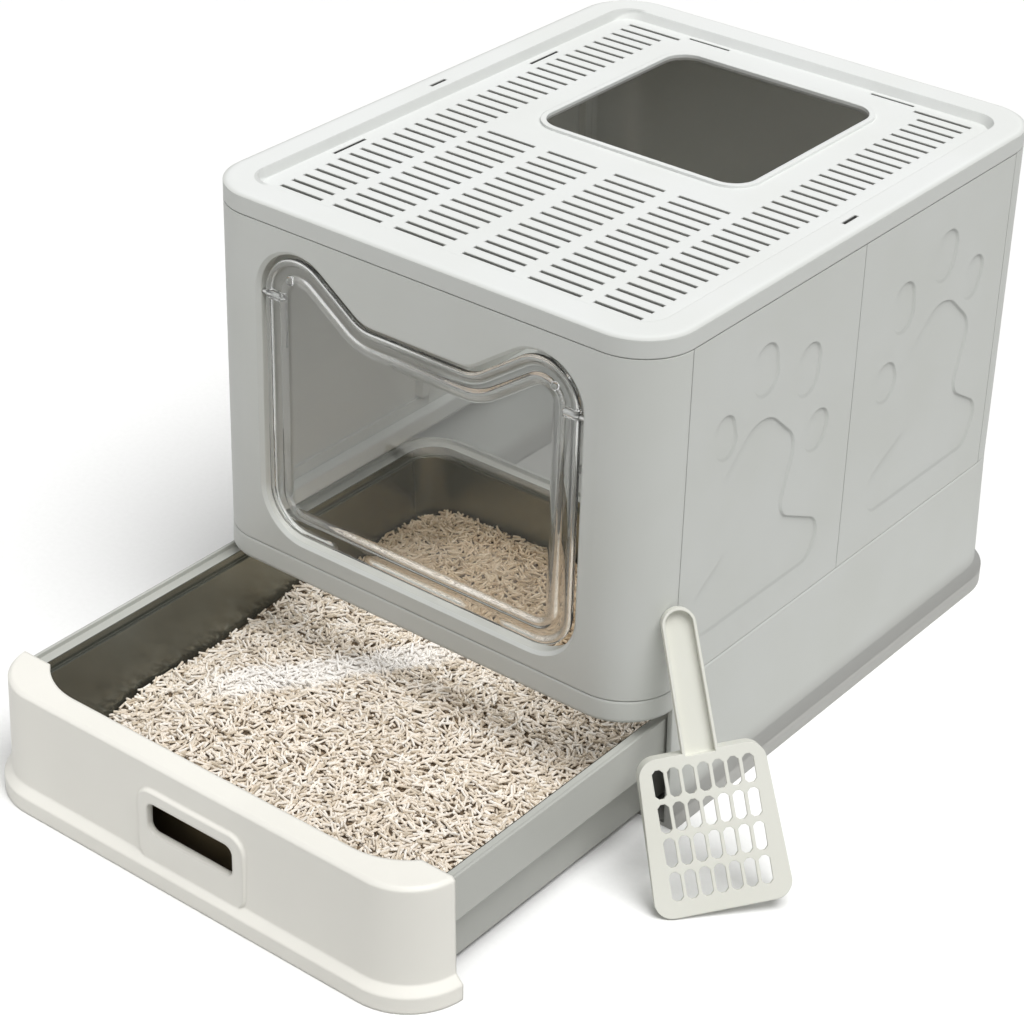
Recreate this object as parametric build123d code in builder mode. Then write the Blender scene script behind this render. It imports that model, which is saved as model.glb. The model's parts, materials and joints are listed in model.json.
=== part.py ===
"""Covered litter box with a pull-out drawer, a two-way flap and a lift-off cover.

Everything is in millimetres. X runs across the front, Y runs from front to back, Z is up.
The origin is the centre of the base frame's footprint, on the floor.
The drawer is modelled pulled out, and the scoop leans on the right front corner.
"""

import os
from math import atan, degrees, radians, tan

from build123d import *

os.makedirs("parts", exist_ok=True)

# ---------------------------------------------------------------- clearances
seat_gap = 0.3  # between two pieces that rest on or locate against each other
panel_gap = 0.6  # between neighbouring wall panels
pin_clearance = 0.05  # radial, between a pin and its bore

# ---------------------------------------------------------------- whole body
body_width = 402.0
body_depth = 502.0
corner_radius = 43.0
wall = 3.0
base_height = 119.5  # seam between the base frame and the walls
wall_top = 385.5  # seam between the walls and the cover
cover_rise = 15.5
cover_top = wall_top + cover_rise
half_width = body_width / 2
half_depth = body_depth / 2

# ---------------------------------------------------------------- base frame
base_draft = 2.5  # the base is this much wider each side at the skirt
skirt_flare = 6.0
skirt_band = 13.0  # height of the upright part of the skirt
skirt_crease = 20.0  # where the flare meets the drafted wall
floor_thickness = 3.0
shelf_thickness = 3.0
shelf_top = base_height - 3.5
shelf_width = 16.0  # from the outer face to the inner edge of the shelf
shelf_lip_drop = 11.0
beam_height = 17.5
bay_top = base_height - beam_height  # underside of the beam over the drawer bay
bay_depth = corner_radius  # how far back the drawer front reaches when shut
rail_top = 6.0
rail_end_gap = 25.0
rail_width = 4.0
rail_places = (-150.0, -60.0, 60.0, 150.0)

# ---------------------------------------------------------------- wall ring
seam_offset = 0.35  # the seams stand this far behind the end of the corner's round
seam_y = half_depth - corner_radius + seam_offset  # seams beside the wrapping walls
foot_height = 6.5  # inner rib that stands on the base's rim
foot_thickness = 3.0
tongue_drop = base_height - shelf_top - seat_gap

groove_height = 0.8  # shadow line above the base and above the walls
groove_depth = 1.2

knuckle_half = 3.7
knuckle_pin_radius = 2.0
knuckle_x = half_width - wall - seat_gap - knuckle_half
knuckle_bottom = base_height + 8.5
knuckle_top = wall_top - 9.5
knuckle_count = 2
web_length = 12.0
knuckle_pitch = (knuckle_top - knuckle_bottom) / knuckle_count

# ---------------------------------------------------------------- front opening
head_half_width = half_width - 57.0
head_bottom = base_height + 14.5
brow_drop = 51.5
brow_height = wall_top - brow_drop
brow_half_width = 48.2
ear_rise = 15.6
ear_height = wall_top + ear_rise  # where the ear's two edges would meet
brow_radius = 25.0
ear_radius = 36.0
chin_radius = 38.0
collar_depth = 11.0
collar_thickness = 2.5
collar_chamfer = 2.8

# ---------------------------------------------------------------- flap
flap_gap = 4.0
flap_plate = 2.0
bead_height = 2.6
bead_width = 4.0
inner_bead_offset = 12.0
inner_bead_width = 8.5
inner_bead_height = 1.6
axle_z = brow_height - 5.0
axle_y = -half_depth + 5.5
axle_radius = 2.0
flap_eye_half = 3.2
flap_eye_inner = head_half_width - 18.0
eye_wall = 1.0  # closes the inner end of the eye
socket_radius = 5.0
socket_end = head_half_width + 8.0
axle_end = head_half_width + 5.0
stud_radius = 3.5
stud_x = head_half_width - 26.0
stud_z = axle_z + 16.0
notch_x = 61.0
notch_width = 30.0

# ---------------------------------------------------------------- cover
cover_edge = 5.0  # size of the rounded outer edge, made as two bevels
cover_edge_step = 1.6
rim_inner_top = 22.5  # from the outer face to the rim's inner edge, at the top
rim_inner_base = 26.0
rim_rear = 25.5
plate_sink = 7.0
plate_top = cover_top - plate_sink
plate_thickness = 3.0
vent_width = 3.6
vent_rows = 34
short_rows = 15
vent_front = 42.0  # from the cover's front face to the first row
vent_rear = 54.1
vent_pitch = (body_depth - vent_front - vent_rear) / (vent_rows - 1)
outer_vent = (half_width - 81.0, half_width - 41.5)  # from the centre line, start and end
rear_vent = (half_width - 91.0, half_width - 41.0)
inner_vents = ((8.0, half_width / 2 - 47.5), (half_width / 2 - 35.5, half_width - 91.5))
edge_slot_x = half_width - 33.0
edge_slot_y = (-half_depth / 2, half_depth / 2 - 19.0)
edge_slot = (3.0, 35.0)
rear_slot_x = half_width / 2 - 14.5
rear_slot_y = half_depth - 34.0
rear_slot = (39.0, 2.5)
entry_side = 108.0  # from the cover's side face to the entry
entry_half_width = half_width - entry_side
entry_depth = half_depth - 64.0
entry_radius = 20.0
entry_lip_height = 2.0
entry_lip_width = 4.5
lip_thickness = 2.5
lip_drop = 6.5
lip_bottom = wall_top - lip_drop
catch_x = half_width - 14.5
catch_y = -2.0
catch_length = 18.0
catch_width = 3.5

# ---------------------------------------------------------------- drawer
drawer_open = 232.0  # pulled out by this much as modelled
drawer_top = bay_top - 4.0
drawer_top_bevel = 2.6
front_foot = 0.5  # floor clearance of the drawer front
wrap_depth = corner_radius - 5.0
front_ledge = 18.7
side_ledge = 13.0
ledge_radius = 59.0
ledge_thickness = 3.0
grip_x = 3.0
grip_half_width = 40.0
grip_bottom = 41.0
grip_top = 67.0
grip_radius = 7.0
grip_frame_half_width = 51.5
grip_frame_bottom = skirt_band
grip_frame_top = 78.0
grip_frame_radius = 15.0
grip_frame_height = 3.6
grip_frame_slope = 35  # degrees

pan_side_gap = 4.5  # between the pan and the line of the body's outer faces
pan_front_gap = 5.5
pan_rear_gap = 16.0
pan_half_width = half_width - pan_side_gap
pan_front = pan_front_gap - half_depth - drawer_open
pan_rear = half_depth - drawer_open - pan_rear_gap
pan_corner = 36.0
pan_top = drawer_top - 6.0
flange_top = pan_top - 3.5
flange_thickness = 2.5
flange_width = 10.5
step_depth = 7.5  # a ledge runs round inside the pan, this far below the flange
step_width = 3.0
bead_ring = 2.5
strip_bottom = 55.0
strip_thickness = 2.2
pan_wall = 2.5
pan_draft = 3.0  # degrees
pan_floor = 8.8
litter_crown = 38.5
litter_low_front = 13.0  # height against the left wall, where the heap was shaken away
litter_low_rear = 31.0
litter_slope_width = 84.0  # from the left wall to the crown, at the front

# ---------------------------------------------------------------- scoop
scoop_offset = (68.45, 0.22, 58.1)  # from the right front corner of the body's outline
scoop_plane = Plane(
    origin=(half_width + scoop_offset[0], scoop_offset[1] - half_depth, scoop_offset[2]),
    x_dir=(0.6624, 0.7373, 0.1328),
    z_dir=(0.6356, -0.6469, 0.4213),
)
blade_low = -58.0
blade_high = 54.0
blade_low_half = 49.0
blade_high_half = 44.0
blade_corner = 13.0
blade_thickness = 2.2
tray_depth = 14.0
tray_run_out = 20.0  # the tray's side walls start to fall this far below its top
scoop_slot_pitch = (10.5, 24.0)
scoop_slot_length = 20.5
scoop_slot_width = 8.0
scoop_slot_bevel = 2.5
handle_foot_half = 12.5
handle_half = 11.75
handle_top = 154.0
handle_depth = 8.0
handle_wall = 2.0
handle_sink = 4.0  # overlap of the handle with the tray

# ================================================================ base frame
# The outer wall is drafted, and flares into a skirt. Inside, a shelf carries the
# wall ring and rails carry the drawer. The front is open below the beam.
outer_low = (body_width + 2 * base_draft, body_depth + 2 * base_draft)
outer_skirt = (outer_low[0] + 2 * skirt_flare, outer_low[1] + 2 * skirt_flare)
shelf_bottom = shelf_top - shelf_thickness
shelf_radius = corner_radius - shelf_width
bay_edge = -half_depth + bay_depth
flare_angle = degrees(atan(skirt_flare / (skirt_crease - skirt_band)))
draft_angle = degrees(atan(base_draft / (base_height - skirt_crease)))

with BuildPart() as base_frame:
    with BuildSketch(Plane.XY):
        RectangleRounded(*outer_skirt, corner_radius + base_draft + skirt_flare)
    extrude(amount=skirt_band)
    with BuildSketch(Plane.XY.offset(skirt_band)):
        RectangleRounded(*outer_skirt, corner_radius + base_draft + skirt_flare)
    extrude(amount=skirt_crease - skirt_band, taper=flare_angle)
    with BuildSketch(Plane.XY.offset(skirt_crease)):
        RectangleRounded(*outer_low, corner_radius + base_draft)
    extrude(amount=base_height - skirt_crease, taper=draft_angle)
    # hollow below the shelf
    with BuildSketch(Plane.XY.offset(floor_thickness)):
        RectangleRounded(outer_low[0] - 2 * wall, outer_low[1] - 2 * wall, corner_radius + base_draft - wall)
    extrude(amount=shelf_bottom - floor_thickness, taper=draft_angle, mode=Mode.SUBTRACT)
    # opening inside the shelf, and the step that the wall ring's tongue drops into
    with BuildSketch(Plane.XY.offset(shelf_bottom)):
        RectangleRounded(body_width - 2 * shelf_width, body_depth - 2 * shelf_width, shelf_radius)
    extrude(amount=shelf_thickness, mode=Mode.SUBTRACT)
    with BuildSketch(Plane.XY.offset(shelf_top)):
        RectangleRounded(body_width - 2 * wall, body_depth - 2 * wall, corner_radius - wall)
    extrude(amount=base_height - shelf_top, mode=Mode.SUBTRACT)
    # shadow line below the walls
    with BuildSketch(Plane.XY.offset(base_height - groove_height)):
        RectangleRounded(*outer_low, corner_radius + base_draft)
        RectangleRounded(
            body_width - 2 * groove_depth,
            body_depth - 2 * groove_depth,
            corner_radius - groove_depth,
            mode=Mode.SUBTRACT,
        )
    extrude(amount=groove_height, mode=Mode.SUBTRACT)
    # lip that hangs from the shelf's inner edge
    with BuildSketch(Plane.XY.offset(shelf_bottom)):
        RectangleRounded(
            body_width - 2 * shelf_width + 2 * wall,
            body_depth - 2 * shelf_width + 2 * wall,
            shelf_radius + wall,
        )
        RectangleRounded(
            body_width - 2 * shelf_width,
            body_depth - 2 * shelf_width,
            shelf_radius,
            mode=Mode.SUBTRACT,
        )
    extrude(amount=-shelf_lip_drop)
    # drawer bay
    with BuildSketch(Plane.XY):
        with Locations((0, bay_edge - half_depth)):
            Rectangle(2 * outer_skirt[0], 2 * half_depth)
    extrude(amount=bay_top, mode=Mode.SUBTRACT)
    # rails
    rail_length = body_depth - bay_depth - rail_end_gap
    with BuildSketch(Plane.XY.offset(floor_thickness)):
        for rail_x in rail_places:
            with Locations((rail_x, bay_edge + rail_length / 2)):
                Rectangle(rail_width, rail_length)
    extrude(amount=rail_top - floor_thickness)
base_frame.part.label = "base_frame"
export_step(base_frame.part, "parts/base_frame.step")

# ================================================================ front wall
# Outline of the opening, a cat's head seen from the front, in X and Z.
head_points = (
    (brow_half_width, brow_height),
    (head_half_width, ear_height),
    (head_half_width, head_bottom),
    (-head_half_width, head_bottom),
    (-head_half_width, ear_height),
    (-brow_half_width, brow_height),
)
head_radii = (brow_radius, ear_radius, chin_radius, chin_radius, ear_radius, brow_radius)
with BuildSketch() as head:
    with BuildLine():
        FilletPolyline(*head_points, radius=head_radii, close=True)
    make_face()
head_shape = head.sketch_local
collar_shape = offset(head_shape, amount=collar_thickness)
front_face = Plane.XZ.offset(half_depth)

hinge_knuckles = {"wrap": (0,), "side": (1,), "fold_front": (0,), "fold_rear": (1,)}

with BuildPart() as front_panel:
    with BuildSketch(Plane.XY.offset(base_height)):
        RectangleRounded(body_width, body_depth, corner_radius)
        RectangleRounded(
            body_width - 2 * wall, body_depth - 2 * wall, corner_radius - wall, mode=Mode.SUBTRACT
        )
        with Locations((0, half_depth - seam_y - panel_gap / 2)):
            Rectangle(2 * body_width, body_depth, mode=Mode.SUBTRACT)
    extrude(amount=wall_top - base_height)
    # rib and tongue along the foot
    foot_inset = wall + seat_gap
    with BuildSketch(Plane.XY.offset(base_height - tongue_drop)):
        RectangleRounded(
            body_width - 2 * foot_inset, body_depth - 2 * foot_inset, corner_radius - foot_inset
        )
        RectangleRounded(
            body_width - 2 * foot_inset - 2 * foot_thickness,
            body_depth - 2 * foot_inset - 2 * foot_thickness,
            corner_radius - foot_inset - foot_thickness,
            mode=Mode.SUBTRACT,
        )
        with Locations((0, half_depth - seam_y - panel_gap / 2)):
            Rectangle(2 * body_width, body_depth, mode=Mode.SUBTRACT)
    extrude(amount=tongue_drop + foot_height)
    with BuildSketch(Plane.XY.offset(base_height)):
        RectangleRounded(body_width - wall, body_depth - wall, corner_radius - wall / 2)
        RectangleRounded(
            body_width - 2 * foot_inset - foot_thickness,
            body_depth - 2 * foot_inset - foot_thickness,
            corner_radius - foot_inset - foot_thickness / 2,
            mode=Mode.SUBTRACT,
        )
        with Locations((0, half_depth - seam_y - panel_gap / 2)):
            Rectangle(2 * body_width, body_depth, mode=Mode.SUBTRACT)
    extrude(amount=foot_height)
    # hinge webs and eyes on both rear edges
    for index in hinge_knuckles["wrap"]:
        low = knuckle_bottom + index * knuckle_pitch + panel_gap / 2
        with BuildSketch(Plane.XY.offset(low)):
            for side in (-1, 1):
                with Locations((side * (half_width - wall - knuckle_half), -seam_y - web_length / 2)):
                    Rectangle(2 * knuckle_half, web_length - panel_gap)
                with Locations((side * knuckle_x, -seam_y)):
                    Rectangle(2 * knuckle_half, 2 * knuckle_half)
        extrude(amount=knuckle_pitch - panel_gap)
    with BuildSketch(Plane.XY.offset(knuckle_bottom)):
        with Locations((-knuckle_x, -seam_y), (knuckle_x, -seam_y)):
            Circle(knuckle_pin_radius + pin_clearance)
    extrude(amount=knuckle_top - knuckle_bottom, mode=Mode.SUBTRACT)
    # collar round the opening, and a socket at each end of the flap's axle
    with BuildSketch(front_face):
        add(collar_shape)
    extrude(amount=-collar_depth)
    with BuildSketch(Plane.YZ.offset(head_half_width)):
        with Locations((axle_y, axle_z)):
            Circle(socket_radius)
    extrude(amount=socket_end - head_half_width)
    with BuildSketch(Plane.YZ.offset(-head_half_width)):
        with Locations((axle_y, axle_z)):
            Circle(socket_radius)
    extrude(amount=head_half_width - socket_end)
    with BuildSketch(front_face):
        add(head_shape)
    extrude(amount=-2 * collar_depth, mode=Mode.SUBTRACT)
    # the opening's front edge is bevelled all the way round
    with BuildSketch(front_face):
        add(offset(head_shape, amount=collar_chamfer))
    extrude(amount=-collar_chamfer, taper=45, mode=Mode.SUBTRACT)
    with BuildSketch(Plane.YZ.offset(-axle_end - seat_gap)):
        with Locations((axle_y, axle_z)):
            Circle(axle_radius + pin_clearance)
    extrude(amount=2 * (axle_end + seat_gap), mode=Mode.SUBTRACT)
front_panel.part.label = "front_panel"
export_step(front_panel.part, "parts/front_panel.step")

# ================================================================ rear wall
with BuildPart() as back_panel:
    with BuildSketch(Plane.XY.offset(base_height)):
        RectangleRounded(body_width, body_depth, corner_radius)
        RectangleRounded(
            body_width - 2 * wall, body_depth - 2 * wall, corner_radius - wall, mode=Mode.SUBTRACT
        )
        with Locations((0, seam_y + panel_gap / 2 - half_depth)):
            Rectangle(2 * body_width, body_depth, mode=Mode.SUBTRACT)
    extrude(amount=wall_top - base_height)
    with BuildSketch(Plane.XY.offset(base_height - tongue_drop)):
        RectangleRounded(
            body_width - 2 * foot_inset, body_depth - 2 * foot_inset, corner_radius - foot_inset
        )
        RectangleRounded(
            body_width - 2 * foot_inset - 2 * foot_thickness,
            body_depth - 2 * foot_inset - 2 * foot_thickness,
            corner_radius - foot_inset - foot_thickness,
            mode=Mode.SUBTRACT,
        )
        with Locations((0, seam_y + panel_gap / 2 - half_depth)):
            Rectangle(2 * body_width, body_depth, mode=Mode.SUBTRACT)
    extrude(amount=tongue_drop + foot_height)
    with BuildSketch(Plane.XY.offset(base_height)):
        RectangleRounded(body_width - wall, body_depth - wall, corner_radius - wall / 2)
        RectangleRounded(
            body_width - 2 * foot_inset - foot_thickness,
            body_depth - 2 * foot_inset - foot_thickness,
            corner_radius - foot_inset - foot_thickness / 2,
            mode=Mode.SUBTRACT,
        )
        with Locations((0, seam_y + panel_gap / 2 - half_depth)):
            Rectangle(2 * body_width, body_depth, mode=Mode.SUBTRACT)
    extrude(amount=foot_height)
    for index in hinge_knuckles["wrap"]:
        low = knuckle_bottom + index * knuckle_pitch + panel_gap / 2
        with BuildSketch(Plane.XY.offset(low)):
            for side in (-1, 1):
                with Locations((side * (half_width - wall - knuckle_half), seam_y + web_length / 2)):
                    Rectangle(2 * knuckle_half, web_length - panel_gap)
                with Locations((side * knuckle_x, seam_y)):
                    Rectangle(2 * knuckle_half, 2 * knuckle_half)
        extrude(amount=knuckle_pitch - panel_gap)
    with BuildSketch(Plane.XY.offset(knuckle_bottom)):
        with Locations((-knuckle_x, seam_y), (knuckle_x, seam_y)):
            Circle(knuckle_pin_radius + pin_clearance)
    extrude(amount=knuckle_top - knuckle_bottom, mode=Mode.SUBTRACT)
back_panel.part.label = "back_panel"
export_step(back_panel.part, "parts/back_panel.step")

# ================================================================ side walls
# Each side wall is two halves that meet at Y = 0. Each half carries a sunken paw
# print. Places are shares of the half's length from the fold and of its height.
paw_depth = 1.5
paw_slope = 45  # degrees, of the recess's edges from upright
wall_rise = wall_top - base_height
paw_toes = (
    ((0.566, 0.806), (42.0, 30.0), 80.0),
    ((0.302, 0.724), (42.0, 29.0), 96.0),
    ((0.782, 0.679), (36.0, 25.0), 74.0),
    ((0.221, 0.517), (34.0, 29.0), 110.0),
)
pad_outline = (
    ((0.571, 0.701), 30.0),
    ((0.336, 0.536), 24.0),
    ((0.422, 0.325), 16.0),
    ((0.125, 0.212), 18.0),
    ((0.202, 0.103), 14.0),
    ((0.864, 0.103), 14.0),
    ((0.941, 0.227), 18.0),
    ((0.720, 0.333), 16.0),
    ((0.806, 0.536), 24.0),
)
for half, toward, fold_set in (("front", -1, "fold_front"), ("rear", 1, "fold_rear")):
    with BuildPart() as side_panel:
        span = seam_y - panel_gap
        middle = toward * seam_y / 2
        with BuildSketch(Plane.XY.offset(base_height)):
            with Locations((half_width - wall / 2, middle)):
                Rectangle(wall, span)
        extrude(amount=wall_top - base_height)
        with BuildSketch(Plane.XY.offset(base_height - tongue_drop)):
            with Locations((half_width - wall - seat_gap - foot_thickness / 2, middle)):
                Rectangle(foot_thickness, span)
        extrude(amount=tongue_drop + foot_height)
        with BuildSketch(Plane.XY.offset(base_height)):
            with Locations((half_width - wall, middle)):
                Rectangle(foot_thickness, span)
        extrude(amount=foot_height)
        for edge, inward, chosen in ((0.0, toward, fold_set), (toward * seam_y, -toward, "side")):
            for index in hinge_knuckles[chosen]:
                low = knuckle_bottom + index * knuckle_pitch + panel_gap / 2
                with BuildSketch(Plane.XY.offset(low)):
                    with Locations((half_width - wall - knuckle_half, edge + inward * web_length / 2)):
                        Rectangle(2 * knuckle_half, web_length - panel_gap)
                    with Locations((knuckle_x, edge)):
                        Rectangle(2 * knuckle_half, 2 * knuckle_half)
                extrude(amount=knuckle_pitch - panel_gap)
            with BuildSketch(Plane.XY.offset(knuckle_bottom)):
                with Locations((knuckle_x, edge)):
                    Circle(knuckle_pin_radius + pin_clearance)
            extrude(amount=knuckle_top - knuckle_bottom, mode=Mode.SUBTRACT)
        # paw print
        with BuildSketch(Plane.YZ.offset(half_width)):
            for (toe_y, toe_z), (toe_length, toe_width), tilt in paw_toes:
                toe_place = (toward * toe_y * seam_y, base_height + toe_z * wall_rise)
                with Locations(Location(toe_place, 90 + toward * (tilt - 90))):
                    SlotOverall(toe_length, toe_width)
            with BuildLine():
                FilletPolyline(
                    *(
                        (toward * pad_y * seam_y, base_height + pad_z * wall_rise)
                        for (pad_y, pad_z), pad_r in pad_outline
                    ),
                    radius=[pad_r for place, pad_r in pad_outline],
                    close=True,
                )
            make_face()
        extrude(amount=-paw_depth, taper=paw_slope, mode=Mode.SUBTRACT)
    right = side_panel.part
    right.label = f"side_panel_right_{half}"
    export_step(right, f"parts/side_panel_right_{half}.step")
    left = mirror(side_panel.part, about=Plane.YZ)
    left.label = f"side_panel_left_{half}"
    export_step(left, f"parts/side_panel_left_{half}.step")

# ================================================================ wall hinge pins
for pin_name, pin_x, pin_y in (
    ("fold_pin_right", knuckle_x, 0.0),
    ("fold_pin_left", -knuckle_x, 0.0),
    ("corner_pin_front_right", knuckle_x, -seam_y),
    ("corner_pin_front_left", -knuckle_x, -seam_y),
    ("corner_pin_rear_right", knuckle_x, seam_y),
    ("corner_pin_rear_left", -knuckle_x, seam_y),
):
    with BuildPart() as wall_pin:
        with BuildSketch(Plane.XY.offset(knuckle_bottom)):
            with Locations((pin_x, pin_y)):
                Circle(knuckle_pin_radius)
        extrude(amount=knuckle_top - knuckle_bottom)
    wall_pin.part.label = pin_name
    export_step(wall_pin.part, f"parts/{pin_name}.step")

# ================================================================ cover
# A rounded rim stands round a sunken plate with vent slots and an entry opening.
rim_radius = corner_radius - rim_inner_top
rim_angle = degrees(atan((rim_inner_base - rim_inner_top) / (cover_top - plate_top)))
with BuildPart() as top_cover:
    with BuildSketch(Plane.XY.offset(wall_top)):
        RectangleRounded(body_width, body_depth, corner_radius)
    extrude(amount=cover_top - wall_top)
    chamfer(
        top_cover.faces().sort_by(Axis.Z)[-1].edges(), length=cover_edge_step, length2=cover_edge
    )
    chamfer(
        top_cover.faces().sort_by(Axis.Z)[-1].edges(), length=cover_edge_step / 2, length2=cover_edge_step
    )
    # sunken plate
    with BuildSketch(Plane.XY.offset(cover_top)):
        RectangleRounded(body_width - 2 * rim_inner_top, body_depth - 2 * rim_rear, rim_radius)
    extrude(amount=plate_top - cover_top, taper=rim_angle, mode=Mode.SUBTRACT)
    # underside: below the plate, and up into the rim
    with BuildSketch(Plane.XY.offset(wall_top)):
        RectangleRounded(body_width - 2 * wall, body_depth - 2 * wall, corner_radius - wall)
    extrude(amount=plate_top - plate_thickness - wall_top, mode=Mode.SUBTRACT)
    rim_core_outer = wall + 2.0
    rim_core_inner = rim_inner_top - wall
    with BuildSketch(Plane.XY.offset(plate_top - plate_thickness)):
        RectangleRounded(
            body_width - 2 * rim_core_outer, body_depth - 2 * rim_core_outer, corner_radius - rim_core_outer
        )
        RectangleRounded(
            body_width - 2 * rim_core_inner,
            body_depth - 2 * rim_core_inner,
            corner_radius - rim_core_inner,
            mode=Mode.SUBTRACT,
        )
    extrude(amount=cover_top - wall - plate_top + plate_thickness, mode=Mode.SUBTRACT)
    # shadow line above the walls
    with BuildSketch(Plane.XY.offset(wall_top)):
        RectangleRounded(body_width + 2 * wall, body_depth + 2 * wall, corner_radius + wall)
        RectangleRounded(
            body_width - 2 * groove_depth,
            body_depth - 2 * groove_depth,
            corner_radius - groove_depth,
            mode=Mode.SUBTRACT,
        )
    extrude(amount=groove_height, mode=Mode.SUBTRACT)
    # lip that locates inside the walls
    lip_inset = wall + seat_gap
    with BuildSketch(Plane.XY.offset(lip_bottom)):
        RectangleRounded(
            body_width - 2 * lip_inset, body_depth - 2 * lip_inset, corner_radius - lip_inset
        )
        RectangleRounded(
            body_width - 2 * lip_inset - 2 * lip_thickness,
            body_depth - 2 * lip_inset - 2 * lip_thickness,
            corner_radius - lip_inset - lip_thickness,
            mode=Mode.SUBTRACT,
        )
    extrude(amount=plate_top - plate_thickness / 2 - lip_bottom)
    # a locating tab under each slot in the rim
    with BuildSketch(Plane.XY.offset(lip_bottom)):
        for side in (-1, 1):
            with Locations((side * (catch_x + catch_width), 0)):
                Rectangle(lip_thickness, catch_length)
    extrude(amount=cover_top - wall / 2 - lip_bottom)
    # raised lip of the entry, then the entry itself
    with BuildSketch(Plane.XY.offset(plate_top - plate_thickness / 2)):
        with Locations((0, entry_depth / 2)):
            RectangleRounded(
                2 * (entry_half_width + entry_lip_width),
                entry_depth + 2 * entry_lip_width,
                entry_radius + entry_lip_width,
            )
    extrude(amount=plate_thickness / 2 + entry_lip_height)
    with BuildSketch(Plane.XY.offset(wall_top)):
        with Locations((0, entry_depth / 2)):
            RectangleRounded(2 * entry_half_width, entry_depth, entry_radius)
    extrude(amount=cover_top - wall_top, mode=Mode.SUBTRACT)
    # vent slots
    outer_middle = (outer_vent[0] + outer_vent[1]) / 2
    outer_length = outer_vent[1] - outer_vent[0]
    vent_start = vent_front - half_depth
    column_middle = vent_start + (vent_rows - 1) * vent_pitch / 2
    short_middle = vent_start + (short_rows - 1) * vent_pitch / 2
    with BuildSketch(Plane.XY.offset(plate_top - plate_thickness)):
        for side in (-1, 1):
            with Locations((side * outer_middle, column_middle)):
                with GridLocations(1, vent_pitch, 1, vent_rows):
                    Rectangle(outer_length, vent_width)
            with Locations((side * (rear_vent[0] + rear_vent[1]) / 2, vent_start + vent_rows * vent_pitch)):
                Rectangle(rear_vent[1] - rear_vent[0], vent_width)
            for start, end in inner_vents:
                with Locations((side * (start + end) / 2, short_middle)):
                    with GridLocations(1, vent_pitch, 1, short_rows):
                        Rectangle(end - start, vent_width)
    extrude(amount=plate_thickness, mode=Mode.SUBTRACT)
    # narrow slots beside the rim, and the two through the rim
    with BuildSketch(Plane.XY.offset(plate_top - plate_thickness)):
        with Locations((-edge_slot_x, edge_slot_y[0]), (-edge_slot_x, edge_slot_y[1])):
            Rectangle(*edge_slot)
        with Locations((-rear_slot_x, rear_slot_y), (rear_slot_x, rear_slot_y)):
            Rectangle(*rear_slot)
    extrude(amount=plate_thickness, mode=Mode.SUBTRACT)
    with BuildSketch(Plane.XY.offset(cover_top - 2 * wall)):
        with Locations((-catch_x, catch_y), (catch_x, catch_y)):
            Rectangle(catch_width, catch_length)
    extrude(amount=2 * wall, mode=Mode.SUBTRACT)
top_cover.part.label = "top_cover"
export_step(top_cover.part, "parts/top_cover.step")

# ================================================================ flap
# A thin clear plate with a bead round its edge and a second bead round its window.
flap_edge = offset(head_shape, amount=-flap_gap)
flap_edge_inner = offset(head_shape, amount=-flap_gap - bead_width)
flap_bead_outer = offset(head_shape, amount=-flap_gap - inner_bead_offset)
flap_bead_inner = offset(head_shape, amount=-flap_gap - inner_bead_offset - inner_bead_width)
flap_middle = Plane.XZ.offset(-axle_y)
flap_front = flap_middle.offset(flap_plate / 2)
flap_eye_length = head_half_width - flap_gap - flap_eye_inner

with BuildPart() as flap_door:
    with BuildSketch(flap_middle):
        add(flap_edge)
    extrude(amount=flap_plate / 2, both=True)
    with BuildSketch(flap_front):
        add(flap_edge)
        add(flap_edge_inner, mode=Mode.SUBTRACT)
        # the first bead is notched at the foot
        with Locations((-notch_x, head_bottom + flap_gap), (notch_x, head_bottom + flap_gap)):
            Rectangle(notch_width, 2 * bead_width + seat_gap, mode=Mode.SUBTRACT)
    extrude(amount=bead_height)
    with BuildSketch(flap_front):
        add(flap_bead_outer)
        add(flap_bead_inner, mode=Mode.SUBTRACT)
    extrude(amount=inner_bead_height)
    # lugs for the stub pins
    for side in (-1, 1):
        with BuildSketch(Plane.YZ.offset(side * flap_eye_inner)):
            with Locations((axle_y, axle_z)):
                Rectangle(2 * flap_eye_half, 2 * flap_eye_half)
        extrude(amount=side * flap_eye_length)
        with BuildSketch(Plane.YZ.offset(side * (flap_eye_inner + eye_wall))):
            with Locations((axle_y, axle_z)):
                Circle(axle_radius + pin_clearance)
        extrude(amount=side * flap_eye_length, mode=Mode.SUBTRACT)
    # two small round studs on the face
    with BuildSketch(flap_front):
        with Locations((-stud_x, stud_z), (stud_x, stud_z)):
            RegularPolygon(stud_radius, 12)
    extrude(amount=bead_height)
flap_door.part.label = "flap_door"
export_step(flap_door.part, "parts/flap_door.step")

for pin_name, side in (("flap_pin_right", 1), ("flap_pin_left", -1)):
    with BuildPart() as flap_pin:
        with BuildSketch(Plane.YZ.offset(side * (flap_eye_inner + eye_wall + seat_gap))):
            with Locations((axle_y, axle_z)):
                Circle(axle_radius)
        extrude(amount=side * (axle_end - flap_eye_inner - eye_wall - seat_gap))
    flap_pin.part.label = pin_name
    export_step(flap_pin.part, f"parts/{pin_name}.step")

# ================================================================ drawer front
# The drawer front continues the base's outer shape, so it is cut from the same
# drafted and flared outline, moved forward by the distance the drawer is out.
front_y = -drawer_open
draft_at_top = base_draft * (base_height - drawer_top) / (base_height - skirt_crease)
wrap_end = -half_depth + wrap_depth - drawer_open
pan_shelf_low = floor_thickness + seat_gap

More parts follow.
